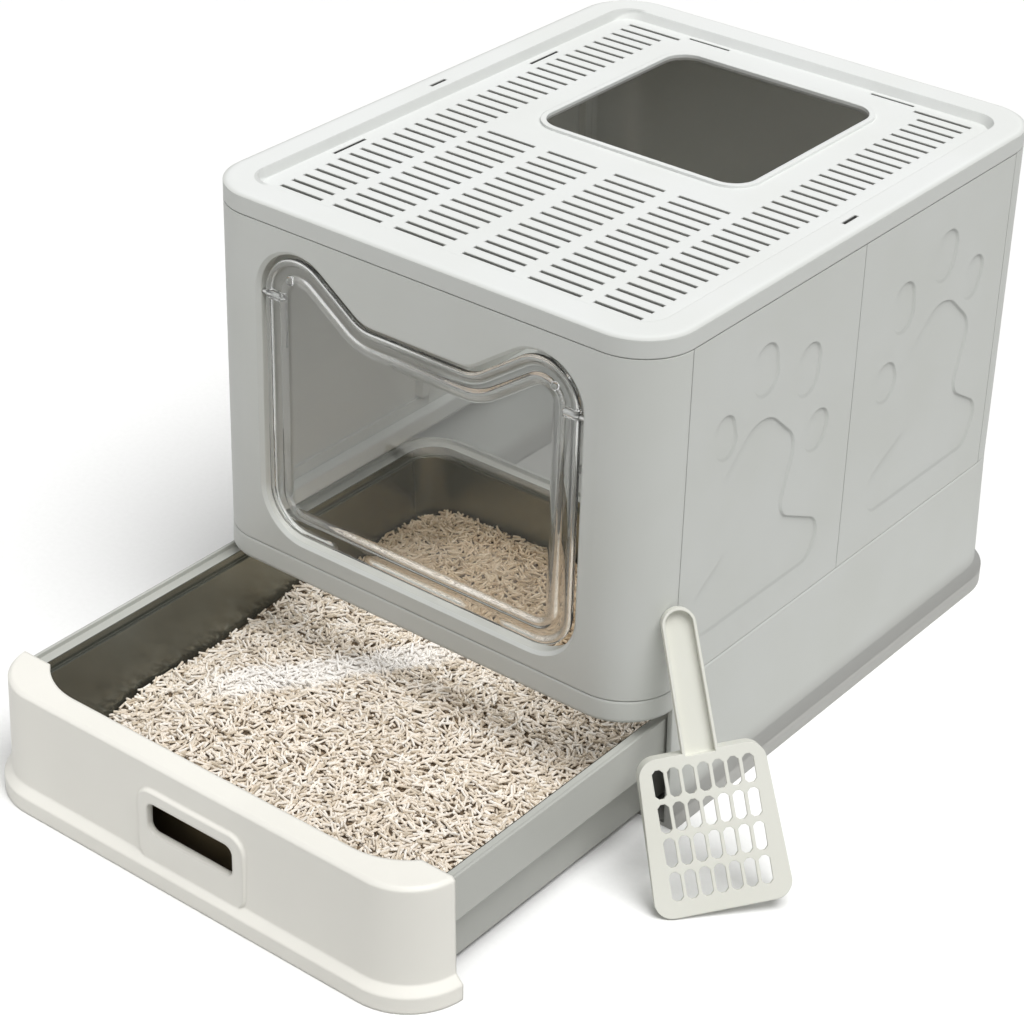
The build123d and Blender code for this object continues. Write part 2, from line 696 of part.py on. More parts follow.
with BuildPart() as drawer_front:
    with BuildSketch(Plane.XY.offset(front_foot)):
        with Locations((0, front_y)):
            RectangleRounded(*outer_skirt, corner_radius + base_draft + skirt_flare)
    extrude(amount=skirt_band - front_foot)
    with BuildSketch(Plane.XY.offset(skirt_band)):
        with Locations((0, front_y)):
            RectangleRounded(*outer_skirt, corner_radius + base_draft + skirt_flare)
    extrude(amount=skirt_crease - skirt_band, taper=flare_angle)
    with BuildSketch(Plane.XY.offset(skirt_crease)):
        with Locations((0, front_y)):
            RectangleRounded(*outer_low, corner_radius + base_draft)
    extrude(amount=drawer_top - skirt_crease, taper=draft_angle)
    chamfer(drawer_front.faces().sort_by(Axis.Z)[-1].edges(), length=drawer_top_bevel)
    # raised frame round the finger hole
    frame_height = grip_frame_top - grip_frame_bottom
    frame_face = half_depth + drawer_open + draft_at_top
    with BuildSketch(Plane.XZ.offset(frame_face)):
        with Locations((grip_x, (grip_frame_top + grip_frame_bottom) / 2)):
            RectangleRounded(2 * grip_frame_half_width, frame_height, grip_frame_radius)
    extrude(amount=grip_frame_height, taper=grip_frame_slope)
    with BuildSketch(Plane.XZ.offset(frame_face)):
        with Locations((grip_x, (grip_frame_top + grip_frame_bottom) / 2)):
            RectangleRounded(2 * grip_frame_half_width, frame_height, grip_frame_radius)
    extrude(amount=-wall / 2)
    # hollow between the shelf that carries the pan and the top ledge
    with BuildSketch(Plane.XY.offset(rail_top)):
        with Locations((0, front_y)):
            RectangleRounded(outer_low[0] - 2 * wall, outer_low[1] - 2 * wall, corner_radius + base_draft - wall)
    extrude(amount=drawer_top - ledge_thickness - rail_top, taper=draft_angle, mode=Mode.SUBTRACT)
    # opening inside the top ledge
    with BuildSketch(Plane.XY.offset(drawer_top - ledge_thickness)):
        with Locations((0, front_y + front_ledge - side_ledge)):
            RectangleRounded(body_width - 2 * side_ledge, body_depth - 2 * side_ledge, ledge_radius)
    extrude(amount=ledge_thickness, mode=Mode.SUBTRACT)
    # recess under that shelf, so that only the skirt is near the floor
    with BuildSketch(Plane.XY.offset(front_foot)):
        with Locations((0, front_y)):
            RectangleRounded(outer_low[0] - 2 * wall, outer_low[1] - 2 * wall, corner_radius + base_draft - wall)
    extrude(amount=pan_shelf_low - front_foot, mode=Mode.SUBTRACT)
    # keep only the front and its two wraps
    with BuildSketch(Plane.XY.offset(front_foot)):
        with Locations((0, wrap_end + body_depth)):
            Rectangle(2 * body_width, 2 * body_depth)
    extrude(amount=drawer_top, mode=Mode.SUBTRACT)
    # finger hole
    with BuildSketch(Plane.XZ.offset(half_depth + drawer_open - 2 * wall)):
        with Locations((grip_x, (grip_top + grip_bottom) / 2)):
            RectangleRounded(2 * grip_half_width, grip_top - grip_bottom, grip_radius)
    extrude(amount=4 * wall + grip_frame_height, mode=Mode.SUBTRACT)
drawer_front.part.label = "drawer_front"
export_step(drawer_front.part, "parts/drawer_front.step")

# ================================================================ pan
pan_width = 2 * pan_half_width
pan_length = pan_rear - pan_front
pan_middle = (pan_rear + pan_front) / 2
tub_inset = flange_width + step_width - pan_wall
step_inset = flange_width - pan_wall
wall_line = flange_width + step_width
step_z = flange_top - step_depth
with BuildPart() as litter_pan:
    # tub
    with BuildSketch(Plane.XY.offset(step_z)):
        with Locations((0, pan_middle)):
            RectangleRounded(pan_width - 2 * tub_inset, pan_length - 2 * tub_inset, pan_corner - tub_inset)
    extrude(amount=rail_top + seat_gap - step_z, taper=pan_draft)
    # the wider part above the ledge
    with BuildSketch(Plane.XY.offset(step_z - pan_wall)):
        with Locations((0, pan_middle)):
            RectangleRounded(pan_width - 2 * step_inset, pan_length - 2 * step_inset, pan_corner - step_inset)
    extrude(amount=step_depth + pan_wall)
    # dished flange with a bead and an outer strip
    with BuildSketch(Plane.XY.offset(flange_top - flange_thickness)):
        with Locations((0, pan_middle)):
            RectangleRounded(pan_width, pan_length, pan_corner)
    extrude(amount=flange_thickness)
    with BuildSketch(Plane.XY.offset(flange_top)):
        with Locations((0, pan_middle)):
            RectangleRounded(pan_width, pan_length, pan_corner)
            RectangleRounded(
                pan_width - 2 * bead_ring, pan_length - 2 * bead_ring, pan_corner - bead_ring, mode=Mode.SUBTRACT
            )
    extrude(amount=pan_top - flange_top)
    with BuildSketch(Plane.XY.offset(strip_bottom)):
        with Locations((0, pan_middle)):
            RectangleRounded(pan_width, pan_length, pan_corner)
            RectangleRounded(
                pan_width - 2 * strip_thickness,
                pan_length - 2 * strip_thickness,
                pan_corner - strip_thickness,
                mode=Mode.SUBTRACT,
            )
    extrude(amount=flange_top - strip_bottom)
    # cavity, in two widths
    with BuildSketch(Plane.XY.offset(step_z)):
        with Locations((0, pan_middle)):
            RectangleRounded(
                pan_width - 2 * flange_width, pan_length - 2 * flange_width, pan_corner - flange_width
            )
    extrude(amount=step_depth, mode=Mode.SUBTRACT)
    with BuildSketch(Plane.XY.offset(step_z)):
        with Locations((0, pan_middle)):
            RectangleRounded(pan_width - 2 * wall_line, pan_length - 2 * wall_line, pan_corner - wall_line)
    extrude(amount=pan_floor - step_z, taper=pan_draft, mode=Mode.SUBTRACT)
    # the strip stops short behind the finger hole
    with BuildSketch(Plane.XY.offset(strip_bottom)):
        with Locations((grip_x, pan_front)):
            Rectangle(2 * grip_frame_half_width, 2 * strip_thickness + seat_gap)
    extrude(amount=flange_top - flange_thickness - strip_bottom, mode=Mode.SUBTRACT)
litter_pan.part.label = "litter_pan"
export_step(litter_pan.part, "parts/litter_pan.step")

# ================================================================ litter
# A heap that is level over most of the pan and falls away towards the left wall,
# more at the front than at the rear. One slanting plane makes that slope.
litter_floor = pan_floor + seat_gap
litter_inset = wall_line + seat_gap + (step_z - litter_floor) * tan(radians(pan_draft))
litter_left = litter_inset - pan_half_width
slope_rise = (litter_crown - litter_low_front) / litter_slope_width
slope_run = (litter_low_rear - litter_low_front) / pan_length
slope_plane = Plane(
    origin=(litter_left, pan_front, litter_low_front),
    x_dir=(0, 1, slope_run),
    z_dir=(-slope_rise, -slope_run, 1),
)
with BuildPart() as litter_bed:
    with BuildSketch(Plane.XY.offset(litter_floor)):
        with Locations((0, pan_middle)):
            RectangleRounded(
                pan_width - 2 * litter_inset, pan_length - 2 * litter_inset, pan_corner - litter_inset
            )
    extrude(amount=litter_crown - litter_floor, taper=-pan_draft)
    with BuildSketch(slope_plane):
        with Locations((pan_length / 2, 0)):
            Rectangle(2 * pan_length, pan_width)
    extrude(amount=litter_crown, mode=Mode.SUBTRACT)
litter_bed.part.label = "litter_bed"
export_step(litter_bed.part, "parts/litter_bed.step")

# ================================================================ scoop
# Drawn flat on its own tilted plane: X across the blade, Y up the handle. The
# tray opens away from the plane's normal and the handle's channel towards it.
blade_points = (
    (-blade_low_half, blade_low),
    (blade_low_half, blade_low),
    (blade_high_half, blade_high),
    (-blade_high_half, blade_high),
)
handle_round = handle_top - handle_half
with BuildSketch() as blade:
    with BuildLine():
        FilletPolyline(*blade_points, radius=blade_corner, close=True)
    make_face()
with BuildSketch() as grip:
    with BuildLine():
        Polyline(
            (-handle_half, handle_round),
            (-handle_foot_half, blade_high - handle_sink),
            (handle_foot_half, blade_high - handle_sink),
            (handle_half, handle_round),
        )
        RadiusArc((-handle_half, handle_round), (handle_half, handle_round), handle_half)
    make_face()
blade_inside = offset(blade.sketch_local, amount=-blade_thickness)
grip_inside = offset(grip.sketch_local, amount=-handle_wall)
tray_plane = scoop_plane.offset(-tray_depth)

with BuildPart() as scoop:
    with BuildSketch(scoop_plane):
        add(blade.sketch_local)
    extrude(amount=-tray_depth)
    with BuildSketch(tray_plane):
        add(blade_inside)
    extrude(amount=tray_depth - blade_thickness, mode=Mode.SUBTRACT)
    # the tray's side walls run out to nothing at the digging edge
    with BuildSketch(Plane(origin=scoop_plane.origin, x_dir=scoop_plane.y_dir, z_dir=scoop_plane.x_dir)):
        with BuildLine():
            Polyline(
                (blade_low - wall, -blade_thickness),
                (blade_low - wall, -2 * tray_depth),
                (blade_high - tray_run_out, -2 * tray_depth),
                (blade_high - tray_run_out, -tray_depth),
                close=True,
            )
        make_face()
    extrude(amount=blade_low_half + wall, both=True, mode=Mode.SUBTRACT)
    with BuildSketch(scoop_plane) as sieve:
        with GridLocations(*scoop_slot_pitch, 7, 4):
            Rectangle(scoop_slot_width, scoop_slot_length)
        chamfer(sieve.vertices(), length=scoop_slot_bevel)
    extrude(amount=-blade_thickness, mode=Mode.SUBTRACT)
    with BuildSketch(scoop_plane):
        add(grip.sketch_local)
    extrude(amount=-handle_depth)
    with BuildSketch(scoop_plane):
        add(grip_inside)
    extrude(amount=handle_wall - handle_depth, mode=Mode.SUBTRACT)
scoop.part.label = "scoop"
export_step(scoop.part, "parts/scoop.step")
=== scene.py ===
# %% [markdown]
# # A covered litter box with a pull-out drawer
# The real thing is a moulded plastic box for a cat: a base with a drawer, four hinged
# walls, a clear swinging flap, a vented cover and a slotted scoop. The packed CAD model
# already has every rigid shape in its right place, so this lesson dresses those parts
# and makes only what CAD is poor at: the soft beads of the clear flap, and thousands of
# loose litter pellets.

# %% Load the packed model
import json
import math

import bmesh
import bpy
import numpy as np
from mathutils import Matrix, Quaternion, Vector


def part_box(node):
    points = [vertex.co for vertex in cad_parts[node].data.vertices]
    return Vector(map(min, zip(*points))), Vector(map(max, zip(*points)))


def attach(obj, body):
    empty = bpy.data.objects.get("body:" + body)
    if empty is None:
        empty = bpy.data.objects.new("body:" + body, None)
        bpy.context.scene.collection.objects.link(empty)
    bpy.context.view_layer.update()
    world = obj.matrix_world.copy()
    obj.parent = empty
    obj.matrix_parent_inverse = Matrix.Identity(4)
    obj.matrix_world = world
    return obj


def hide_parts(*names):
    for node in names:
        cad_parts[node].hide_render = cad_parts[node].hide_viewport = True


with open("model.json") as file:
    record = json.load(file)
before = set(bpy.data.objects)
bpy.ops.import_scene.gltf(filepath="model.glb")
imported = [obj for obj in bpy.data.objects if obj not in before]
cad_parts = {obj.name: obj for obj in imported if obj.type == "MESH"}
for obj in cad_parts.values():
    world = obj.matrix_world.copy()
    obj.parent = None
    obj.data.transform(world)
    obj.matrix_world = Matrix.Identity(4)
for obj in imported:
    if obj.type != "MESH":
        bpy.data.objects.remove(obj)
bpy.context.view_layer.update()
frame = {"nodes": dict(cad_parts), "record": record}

nodes = frame["nodes"]
scene = bpy.context.scene

# %% [markdown]
# ## The camera
# The photograph looks down over the right front corner through a long lens. The place
# and the lens were solved from corners of the box whose sizes are known, so the camera
# is set by numbers and never aimed by eye. A tracking constraint would do for a new
# picture, but not for matching one that exists.

# %% Place the camera
CAMERA_PLACE = (1.082582, -1.535876, 1.216431)
CAMERA_LOOK = (-0.52463, 0.67829, -0.51447)
CAMERA_ROLL = 1.549  # degrees
CAMERA_LENS = 97.52  # mm
SENSOR_WIDTH = 36  # mm

camera = bpy.data.objects.new("camera", bpy.data.cameras.new("camera"))
scene.collection.objects.link(camera)
upright_view = Vector(CAMERA_LOOK).normalized().to_track_quat("-Z", "Y")
camera.rotation_mode = "QUATERNION"
camera.rotation_quaternion = upright_view @ Quaternion((0, 0, 1), math.radians(CAMERA_ROLL))
camera.location = CAMERA_PLACE
camera.data.sensor_fit = "HORIZONTAL"
camera.data.sensor_width = SENSOR_WIDTH
camera.data.lens = CAMERA_LENS
camera.data.clip_end = 20
scene.camera = camera
print("camera at", tuple(camera.location), "lens", camera.data.lens)

# %% [markdown]
# ## Writing materials as sums
# A material is a sum of small ideas: a colour, plus a little mottling, minus some dirt.
# Wiring that by hand hides the idea, so one small class lets two node sockets be added
# or multiplied like numbers. Numbers become Math nodes. Colours and vectors go through
# Mix and Vector Math, since a Math node would turn them grey.

# %% A socket that can be added and multiplied
class Wire:
    """One output socket of a material, with arithmetic."""

    def __init__(self, recipe, socket):
        self.recipe = recipe
        self.socket = socket

    def _many(self, other):
        """Whether this is a colour or a vector and not one number."""
        kinds = ("VECTOR", "RGBA")
        return hasattr(other, "__len__") or (isinstance(other, Wire) and other.socket.type in kinds)

    def _sum(self, operation, first, second):
        if self._many(first) or self._many(second):
            return self.recipe.node("VectorMath", {"operation": operation}, {0: first, 1: second})
        return self.recipe.node("Math", {"operation": operation}, {0: first, 1: second})

    def __add__(self, other):
        return self._sum("ADD", self, other)

    def __radd__(self, other):
        return self._sum("ADD", other, self)

    def __sub__(self, other):
        return self._sum("SUBTRACT", self, other)

    def __rsub__(self, other):
        return self._sum("SUBTRACT", other, self)

    def __mul__(self, other):
        return self._sum("MULTIPLY", self, other)

    def __rmul__(self, other):
        return self._sum("MULTIPLY", other, self)

    def ramp(self, low, high, start=0.0, end=1.0):
        """Goes smoothly from start to end as this value goes from low to high."""
        values = {0: self, 1: low, 2: high, 3: start, 4: end}
        return self.recipe.node("MapRange", {"interpolation_type": "SMOOTHSTEP"}, values)

    def inside(self, low, high):
        """A mask that is 1 where this value lies between two values, with soft ends."""
        fade = (high - low) * 0.25
        return self.ramp(low, low + fade) * self.ramp(high - fade, high, 1.0, 0.0)

    def along(self, direction):
        """How far this point lies along a direction."""
        values = {0: self, 1: direction}
        return self.recipe.node("VectorMath", {"operation": "DOT_PRODUCT"}, values, out=1)

    def tint(self, colour, other):
        """A mix of two colours, by this value."""
        values = {0: self, 6: colour, 7: other}
        return self.recipe.node("Mix", {"data_type": "RGBA"}, values, out=2)


print("a wire knows:", [word for word in vars(Wire) if not word.startswith("_")])

# %% [markdown]
# ## A recipe for a finish
# Everything else in a material is a node with some settings and some values. One method
# makes any of them, so that a finish reads as a list of what feeds what. The places and
# noises that most finishes want have short names of their own. The sky's nodes are
# made in the same way, so the class writes them too.

# %% A finish and the nodes it is made of
class Recipe:
    """The node tree of one finish: a material's, or the world's for the sky."""

    def __init__(self, name, world=False):
        self.owner = (bpy.data.worlds if world else bpy.data.materials).new(name)
        self.owner.use_nodes = True
        self.tree = self.owner.node_tree
        self.tree.nodes.clear()

    def node(self, kind, settings=None, values=None, out=0):
        """Makes one node of this kind: its settings first, then its values and links."""
        made = self.tree.nodes.new("ShaderNode" + kind)
        for key, value in (settings or {}).items():
            if key == "stops":
                while len(made.color_ramp.elements) < len(value):
                    made.color_ramp.elements.new(0.5)
                for element, (place, colour) in zip(made.color_ramp.elements, value):
                    element.position = place
                    element.color = colour
            else:
                setattr(made, key, value)
        for key, value in (values or {}).items():
            socket = made.inputs[key]
            if isinstance(value, Wire):
                self.tree.links.new(value.socket, socket)
            elif hasattr(socket.default_value, "__len__") and not hasattr(value, "__len__"):
                socket.default_value = [value] * len(socket.default_value)
            else:
                socket.default_value = value
        return Wire(self, made.outputs[out]) if len(made.outputs) else None

    def place(self):
        """Where the point is, in metres, in the box's own frame."""
        return self.node("TexCoord", out="Object")

    def height(self):
        """How high the point is above the floor."""
        return self.place().along((0.0, 0.0, 1.0))

    def speckle(self, size, detail=2.0, where=None, out=0):
        """Noise between 0 and 1 whose blotches are about this many metres wide."""
        values = {"Vector": where or self.place(), "Scale": 1.0 / size, "Detail": detail}
        return self.node("TexNoise", None, values, out=out)

    def from_core(self, middle, half, corner):
        """How far a point lies from the core of a rounded oblong seen from above.

        It is the corner radius on the oblong's outline and smaller towards the middle."""
        core = (half[0] - corner, half[1] - corner, 0.0)
        flat = (self.place() - (middle[0], middle[1], 0.0)) * (1.0, 1.0, 0.0)
        away = self.node("VectorMath", {"operation": "ABSOLUTE"}, {0: flat}) - core
        over = self.node("VectorMath", {"operation": "MAXIMUM"}, {0: away, 1: (0.0, 0.0, 0.0)})
        return self.node("VectorMath", {"operation": "LENGTH"}, {0: over}, out=1)

    def finish(self, shader, output="OutputMaterial"):
        """Joins the shader to the output and gives the finished material or world."""
        self.node(output, None, {"Surface": shader})
        return self.owner


print("a recipe knows:", [word for word in vars(Recipe) if not word.startswith("_")])

# %% [markdown]
# ## Colours as one sees them
# A colour picked in a paint program is written in steps from 0 to 255 that are spaced
# for the eye. A shader counts light, so each colour is turned into amounts of light
# first. Without that every plastic would come out too pale.

# %% Colours for the shader
def srgb(red, green, blue):
    """A colour as a paint program writes it, turned into the light values a shader uses."""
    def linear(value):
        value = value / 255
        return value / 12.92 if value <= 0.04045 else ((value + 0.055) / 1.055) ** 2.4
    return (linear(red), linear(green), linear(blue), 1.0)


print("white plastic is", srgb(230, 232, 230))

# %% [markdown]
# ## Moulded plastic
# The box is injection-moulded in two near whites: a cool pale grey for the walls, base and
# cover, and a warm ivory for the drawer front and scoop. The cover's top is painted whiter,
# a painted highlight for the light that falls on it from above.
# Up close such plastic has a fine even texture from the mould, slow waves where it
# shrank, and small rounded edges. A bevel node rounds the edges in the shading only,
# which keeps the CAD meshes untouched. Its radius is as large as the real edge's round,
# so the thick drawer front gets a wider one than the thin scoop. The skirt and the sunken
# paw prints have slopes that roll over gently on the real box. There the normal keeps
# only a share of its upward part, so that no slope catches the lamp like a crisp ledge.

# %% One recipe for the white plastics
BEVEL_SAMPLES = 6
SHRINK_WAVES = 0.09
MOULD_GRAIN = 0.0012


def soft_edges(recipe, radius, below=None, upward=1.0, backward=True):
    """The normal with its edges rounded.

    Below the height given, only the share upward is kept of the part that points up.
    Without backward, no part that points to the rear is kept either, so that a sunken
    print shows one edge more than the other."""
    edge = recipe.node("Bevel", {"samples": BEVEL_SAMPLES}, {"Radius": radius})
    if below is None:
        return edge
    keep = recipe.height().ramp(below - 0.002, below + 0.002, upward, 1.0)
    lean = edge.along((0.0, 1.0, 0.0))
    if not backward:
        lean = recipe.node("Math", {"operation": "MINIMUM"}, {0: lean, 1: 0.0})
    turned = edge * (1.0, 0.0, 0.0) + lean * (0.0, 1.0, 0.0) + edge * (0.0, 0.0, 1.0) * keep
    return recipe.node("VectorMath", {"operation": "NORMALIZE"}, {0: turned})


def moulded(name, tones, roughness, round_edge, zones=None, slopes=None):
    """A satin plastic in a mottle of two tones.

    zones(recipe, paint, rough) may change its colour and roughness by place, and slopes
    says how soft_edges turns them."""
    recipe = Recipe(name)
    waves = recipe.speckle(SHRINK_WAVES, 2.0)
    fine = recipe.speckle(MOULD_GRAIN, 3.0)
    paint = waves.ramp(0.3, 0.7).tint(*tones)
    rough = roughness + (fine - 0.5) * 0.12 + (waves - 0.5) * 0.06
    if zones:
        paint, rough = zones(recipe, paint, rough)
    edge = soft_edges(recipe, round_edge, **(slopes or {}))
    grain = {"Strength": 0.35, "Distance": 0.00004, "Height": fine, "Normal": edge}
    shader = recipe.node("BsdfPrincipled", None, {
        "Base Color": paint,
        "Roughness": rough,
        "IOR": 1.5,
        "Normal": recipe.node("Bump", None, grain),
    })
    return recipe.finish(shader)


print("satin plastic: grain", MOULD_GRAIN, "waves", SHRINK_WAVES)

# %% [markdown]
# ## The base
# The base has the walls' cool grey, and its skirt is painted greyer towards the floor, a
# painted shade where it turns away from the lamp. Painting that by hand would need an
# unwrapped mesh. A blend by height needs none, and it stays right when the base's shape
# changes.

# %% The base's zones
WALL_TONES = (srgb(207, 209, 205), srgb(204, 206, 201))
SKIRT_SHADE_GREY = srgb(176, 175, 171)
SKIRT_SHADE = (0.012, 0.034)  # all grey below the first height, none above the second
SKIRT_SLOPES = {"below": 0.030, "upward": 0.02}


def base_zones(recipe, paint, rough):
    # Painted shade: the skirt is painted greyer towards the floor, where it turns away from the lamp.
    low = recipe.height().ramp(*SKIRT_SHADE, 1.0, 0.0)
    return (low * 0.85).tint(paint, SKIRT_SHADE_GREY), rough


base_plastic = moulded("base_plastic_satin", WALL_TONES, 0.46, 0.0035, base_zones, SKIRT_SLOPES)
print("base plastic:", base_plastic.name)

# %% [markdown]
# ## Inside and outside
# The walls are satin outside and glossier inside, where the mould was polished so that
# they wipe clean. How far a point lies inside the body's rounded outline tells the two
# faces of a wall apart.

# %% The walls' two faces
BODY_HALF = (0.2010, 0.2510)
BODY_CORNER = 0.0430
OUTER_SKIN = (0.0022, 0.0026)  # inside the wall, where the outer finish gives way to the inner
INSIDE_WHITE = srgb(206, 207, 201)
INSIDE_ROUGHNESS = 0.24
PAW_SLOPES = {"below": 0.400, "upward": 0.15, "backward": False}  # the whole side wall


def wall_zones(recipe, paint, rough):
    core = recipe.from_core((0, 0), BODY_HALF, BODY_CORNER)
    outer = core.ramp(BODY_CORNER - OUTER_SKIN[1], BODY_CORNER - OUTER_SKIN[0])
    return outer.tint(INSIDE_WHITE, paint), outer * rough + (1 - outer) * INSIDE_ROUGHNESS


wall_plastic = moulded("wall_plastic_satin", WALL_TONES, 0.46, 0.0009, wall_zones)
paw_plastic = moulded("side_plastic_satin", WALL_TONES, 0.46, 0.0020, wall_zones, PAW_SLOPES)
print("walls:", wall_plastic.name, paw_plastic.name)

# %% [markdown]
# ## The cover
# The cover is moulded in the walls' plastic. Its top is painted whiter, a painted highlight
# for the light from above, and over its rounded edge it turns back into the tone of the
# walls below. Its slots are painted dark below the plate's top, a painted shade in their
# depth, so that they look like dark lines. A zone is a range of heights or of depths inside
# the cover's outline, so it follows the rounded corners by itself.

# %% The cover's zones
# Painted highlight: the walls' plastic, painted brighter on the top for the light from above.
COVER_LIT_WHITES = (srgb(231, 233, 231), srgb(228, 230, 227))
PLATE_TOP = 0.3940
RIM_TOP = 0.4010
ROUND_EDGE = (0.0002, 0.0042)  # this and the next three are depths inside the outline
RIM_SLOTS = (0.0085, 0.0205)
RIM_SLOPE = (0.0218, 0.0268)
EDGE_SLOTS = (0.0290, 0.0370)
LEFT_SIDE = (-0.162, -0.154)  # left of this the rim's slope lies in shade


def cover_zones(recipe, paint, rough):
    depth = BODY_CORNER - recipe.from_core((0, 0), BODY_HALF, BODY_CORNER)
    height = recipe.height()
    below_plate = height.ramp(PLATE_TOP - 0.0012, PLATE_TOP - 0.0002, 1.0, 0.0)
    below_rim = height.ramp(RIM_TOP - 0.0014, RIM_TOP - 0.0004, 1.0, 0.0)
    in_rim_slot = depth.inside(*RIM_SLOTS) * below_rim
    in_edge_slot = depth.inside(*EDGE_SLOTS) * below_plate
    left_side = recipe.place().along((1.0, 0.0, 0.0)).ramp(*LEFT_SIDE, 1.0, 0.0)
    # Painted shade: the slope inside the left rim is painted darker.
    slope = depth.inside(*RIM_SLOPE) * left_side
    paint = (slope * 0.9).tint(paint, srgb(203, 205, 202))
    # Painted shade: below the plate's top the slots' sides are painted grey, and their depths near black.
    paint = (below_plate * 0.9).tint(paint, srgb(150, 150, 145))
    paint = (in_edge_slot * 0.95).tint(paint, srgb(44, 44, 42))
    paint = (in_rim_slot * 0.9).tint(paint, srgb(60, 60, 57))
    # The rounded edge keeps the walls' own tone, and the painted highlight starts on the top.
    return depth.ramp(*ROUND_EDGE).tint(WALL_TONES[0], paint), rough


cover_plastic = moulded("cover_plastic_satin", COVER_LIT_WHITES, 0.44, 0.0012, cover_zones)
print("cover:", cover_plastic.name)

# %% [markdown]
# ## The drawer front and the scoop
# Both are moulded in ivory, the scoop a shade deeper. The drawer front is thick and
# its edges are rounded wide, while the scoop is thin and crisp. The same recipe makes
# both, with other tones and another round.

# %% The drawer front's and the scoop's ivory
DRAWER_IVORIES = (srgb(239, 237, 229), srgb(236, 234, 226))
SCOOP_IVORIES = (srgb(225, 225, 216), srgb(222, 222, 212))

drawer_plastic = moulded("drawer_plastic_satin", DRAWER_IVORIES, 0.42, 0.0028)
scoop_plastic = moulded("scoop_plastic_satin", SCOOP_IVORIES, 0.40, 0.0008)
print("ivory:", drawer_plastic.name, scoop_plastic.name)

# %% [markdown]
# ## The pan
# The pan is two greys. Its outer strip and the flange on top are a pale satin like the
# walls. Inside it is a dark polished grey that mirrors the litter and the sky, and towards
# the rear it is painted paler, a painted light where the rear walls are lit. The tub's front
# face shows only through the drawer's finger hole, and is brown there. One mask, worked out
# from how far a point lies inside the pan's rounded outline, keeps inside and outside apart
# without cutting the mesh.

# %% The pan's finish
pan_low, pan_high = (Vector(corner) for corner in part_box("litter_pan"))
pan_middle = (pan_low + pan_high) / 2
pan_half = (pan_high - pan_low) / 2
PAN_OUTER_CORNER = 0.0360
FLANGE = 0.0098
TUB_WALL = 0.01225
TUB_TOP = pan_high.z - 0.0110
TUB_DRAFT = math.tan(math.radians(3))
TUB_FACE = (pan_low.y + 0.02, pan_low.y + 0.04)  # brown before the first, pale behind the second
PAINTED_LIGHT_REAR = (-0.32, -0.20)  # in y, where the inside goes paler from front to rear
INSIDE_GREYS = (srgb(110, 111, 103), srgb(146, 146, 134))
OUTSIDE_GREY = srgb(184, 185, 179)
FACE_BROWN = srgb(104, 92, 70)


def pan_finish():
    recipe = Recipe("pan_grey_polished")
    fine = recipe.speckle(0.0009, 2.0)
    broad = recipe.speckle(0.06, 2.0)
    outline = recipe.from_core(pan_middle, pan_half, PAN_OUTER_CORNER)
    under = TUB_TOP - recipe.height()
    on_tub = under.ramp(0.0020, 0.0030)
    skin_line = on_tub * (TUB_WALL - FLANGE + under * TUB_DRAFT) + FLANGE
    outer = (outline + skin_line).ramp(PAN_OUTER_CORNER - 0.0003, PAN_OUTER_CORNER + 0.0003)
    along = recipe.place().along((0.0, 1.0, 0.0))
    # Painted light: the inside grey is painted paler towards the rear.
    dark = along.ramp(*PAINTED_LIGHT_REAR).tint(*INSIDE_GREYS)
    light = (along.ramp(*TUB_FACE, 1.0, 0.0) * on_tub).tint(OUTSIDE_GREY, FACE_BROWN)
    rough = 0.25 + outer * 0.16 + (broad - 0.5) * 0.05 + (fine - 0.5) * 0.04
    edge = soft_edges(recipe, 0.0012)
    grain = {"Strength": 0.2, "Distance": 0.00003, "Height": fine, "Normal": edge}
    shader = recipe.node("BsdfPrincipled", None, {
        "Base Color": outer.tint(dark, light),
        "Metallic": outer.ramp(0.0, 1.0, 0.72, 0.05),
        "Roughness": rough,
        "Normal": recipe.node("Bump", None, grain),
    })
    return recipe.finish(shader)


pan_plastic = pan_finish()
print("pan:", pan_plastic.name)

# %% [markdown]
# ## The clear flap
# The flap is moulded from clear plastic about two millimetres thick. Glass shading on a
# real closed solid bends light at the beads by itself, which is what draws the bright
# and dark lines along them. No such sheet is perfectly clear, so a little white is mixed
# in: a faint haze over the window, and more in the thick beads.

# %% The flap's finish
axle = sum((Vector(corner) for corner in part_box("flap_pin_right")), Vector()) / 2
BEAD_FRONT = (0.0012, 0.0030)  # in front of the flap's middle, where the haze grows
SHEET_HAZE = 0.018
BEAD_HAZE = 0.14


def clear_finish():
    recipe = Recipe("flap_clear_plastic")
    scuffs = recipe.speckle(0.02, 3.0)
    clear = recipe.node("BsdfPrincipled", None, {
        "Base Color": srgb(247, 248, 247),
        "Roughness": scuffs.ramp(0.50, 0.85, 0.0, 0.05),
        "IOR": 1.55,
        "Transmission Weight": 1.0,
    })
    milk = recipe.node("BsdfPrincipled", None, {"Base Color": srgb(240, 242, 240), "Roughness": 0.25})
    before_middle = axle.y - recipe.place().along((0.0, 1.0, 0.0))
    haze = before_middle.ramp(*BEAD_FRONT, SHEET_HAZE, BEAD_HAZE)
    return recipe.finish(recipe.node("MixShader", None, {0: haze, 1: clear, 2: milk}))


clear_plastic = clear_finish()
print("flap:", clear_plastic.name)

# %% [markdown]
# ## Steel pins
# Drawn wire has fine lines along its length and a soft sheen. Noise squeezed across the
# wire and stretched along it gives such lines. They only change how rough the steel is,
# since scratches don't change its colour.

# %% The pins' finish
DRAWN_LINES = (4000.0, 4000.0, 60.0)  # noise cells to a metre: fine across, long upwards


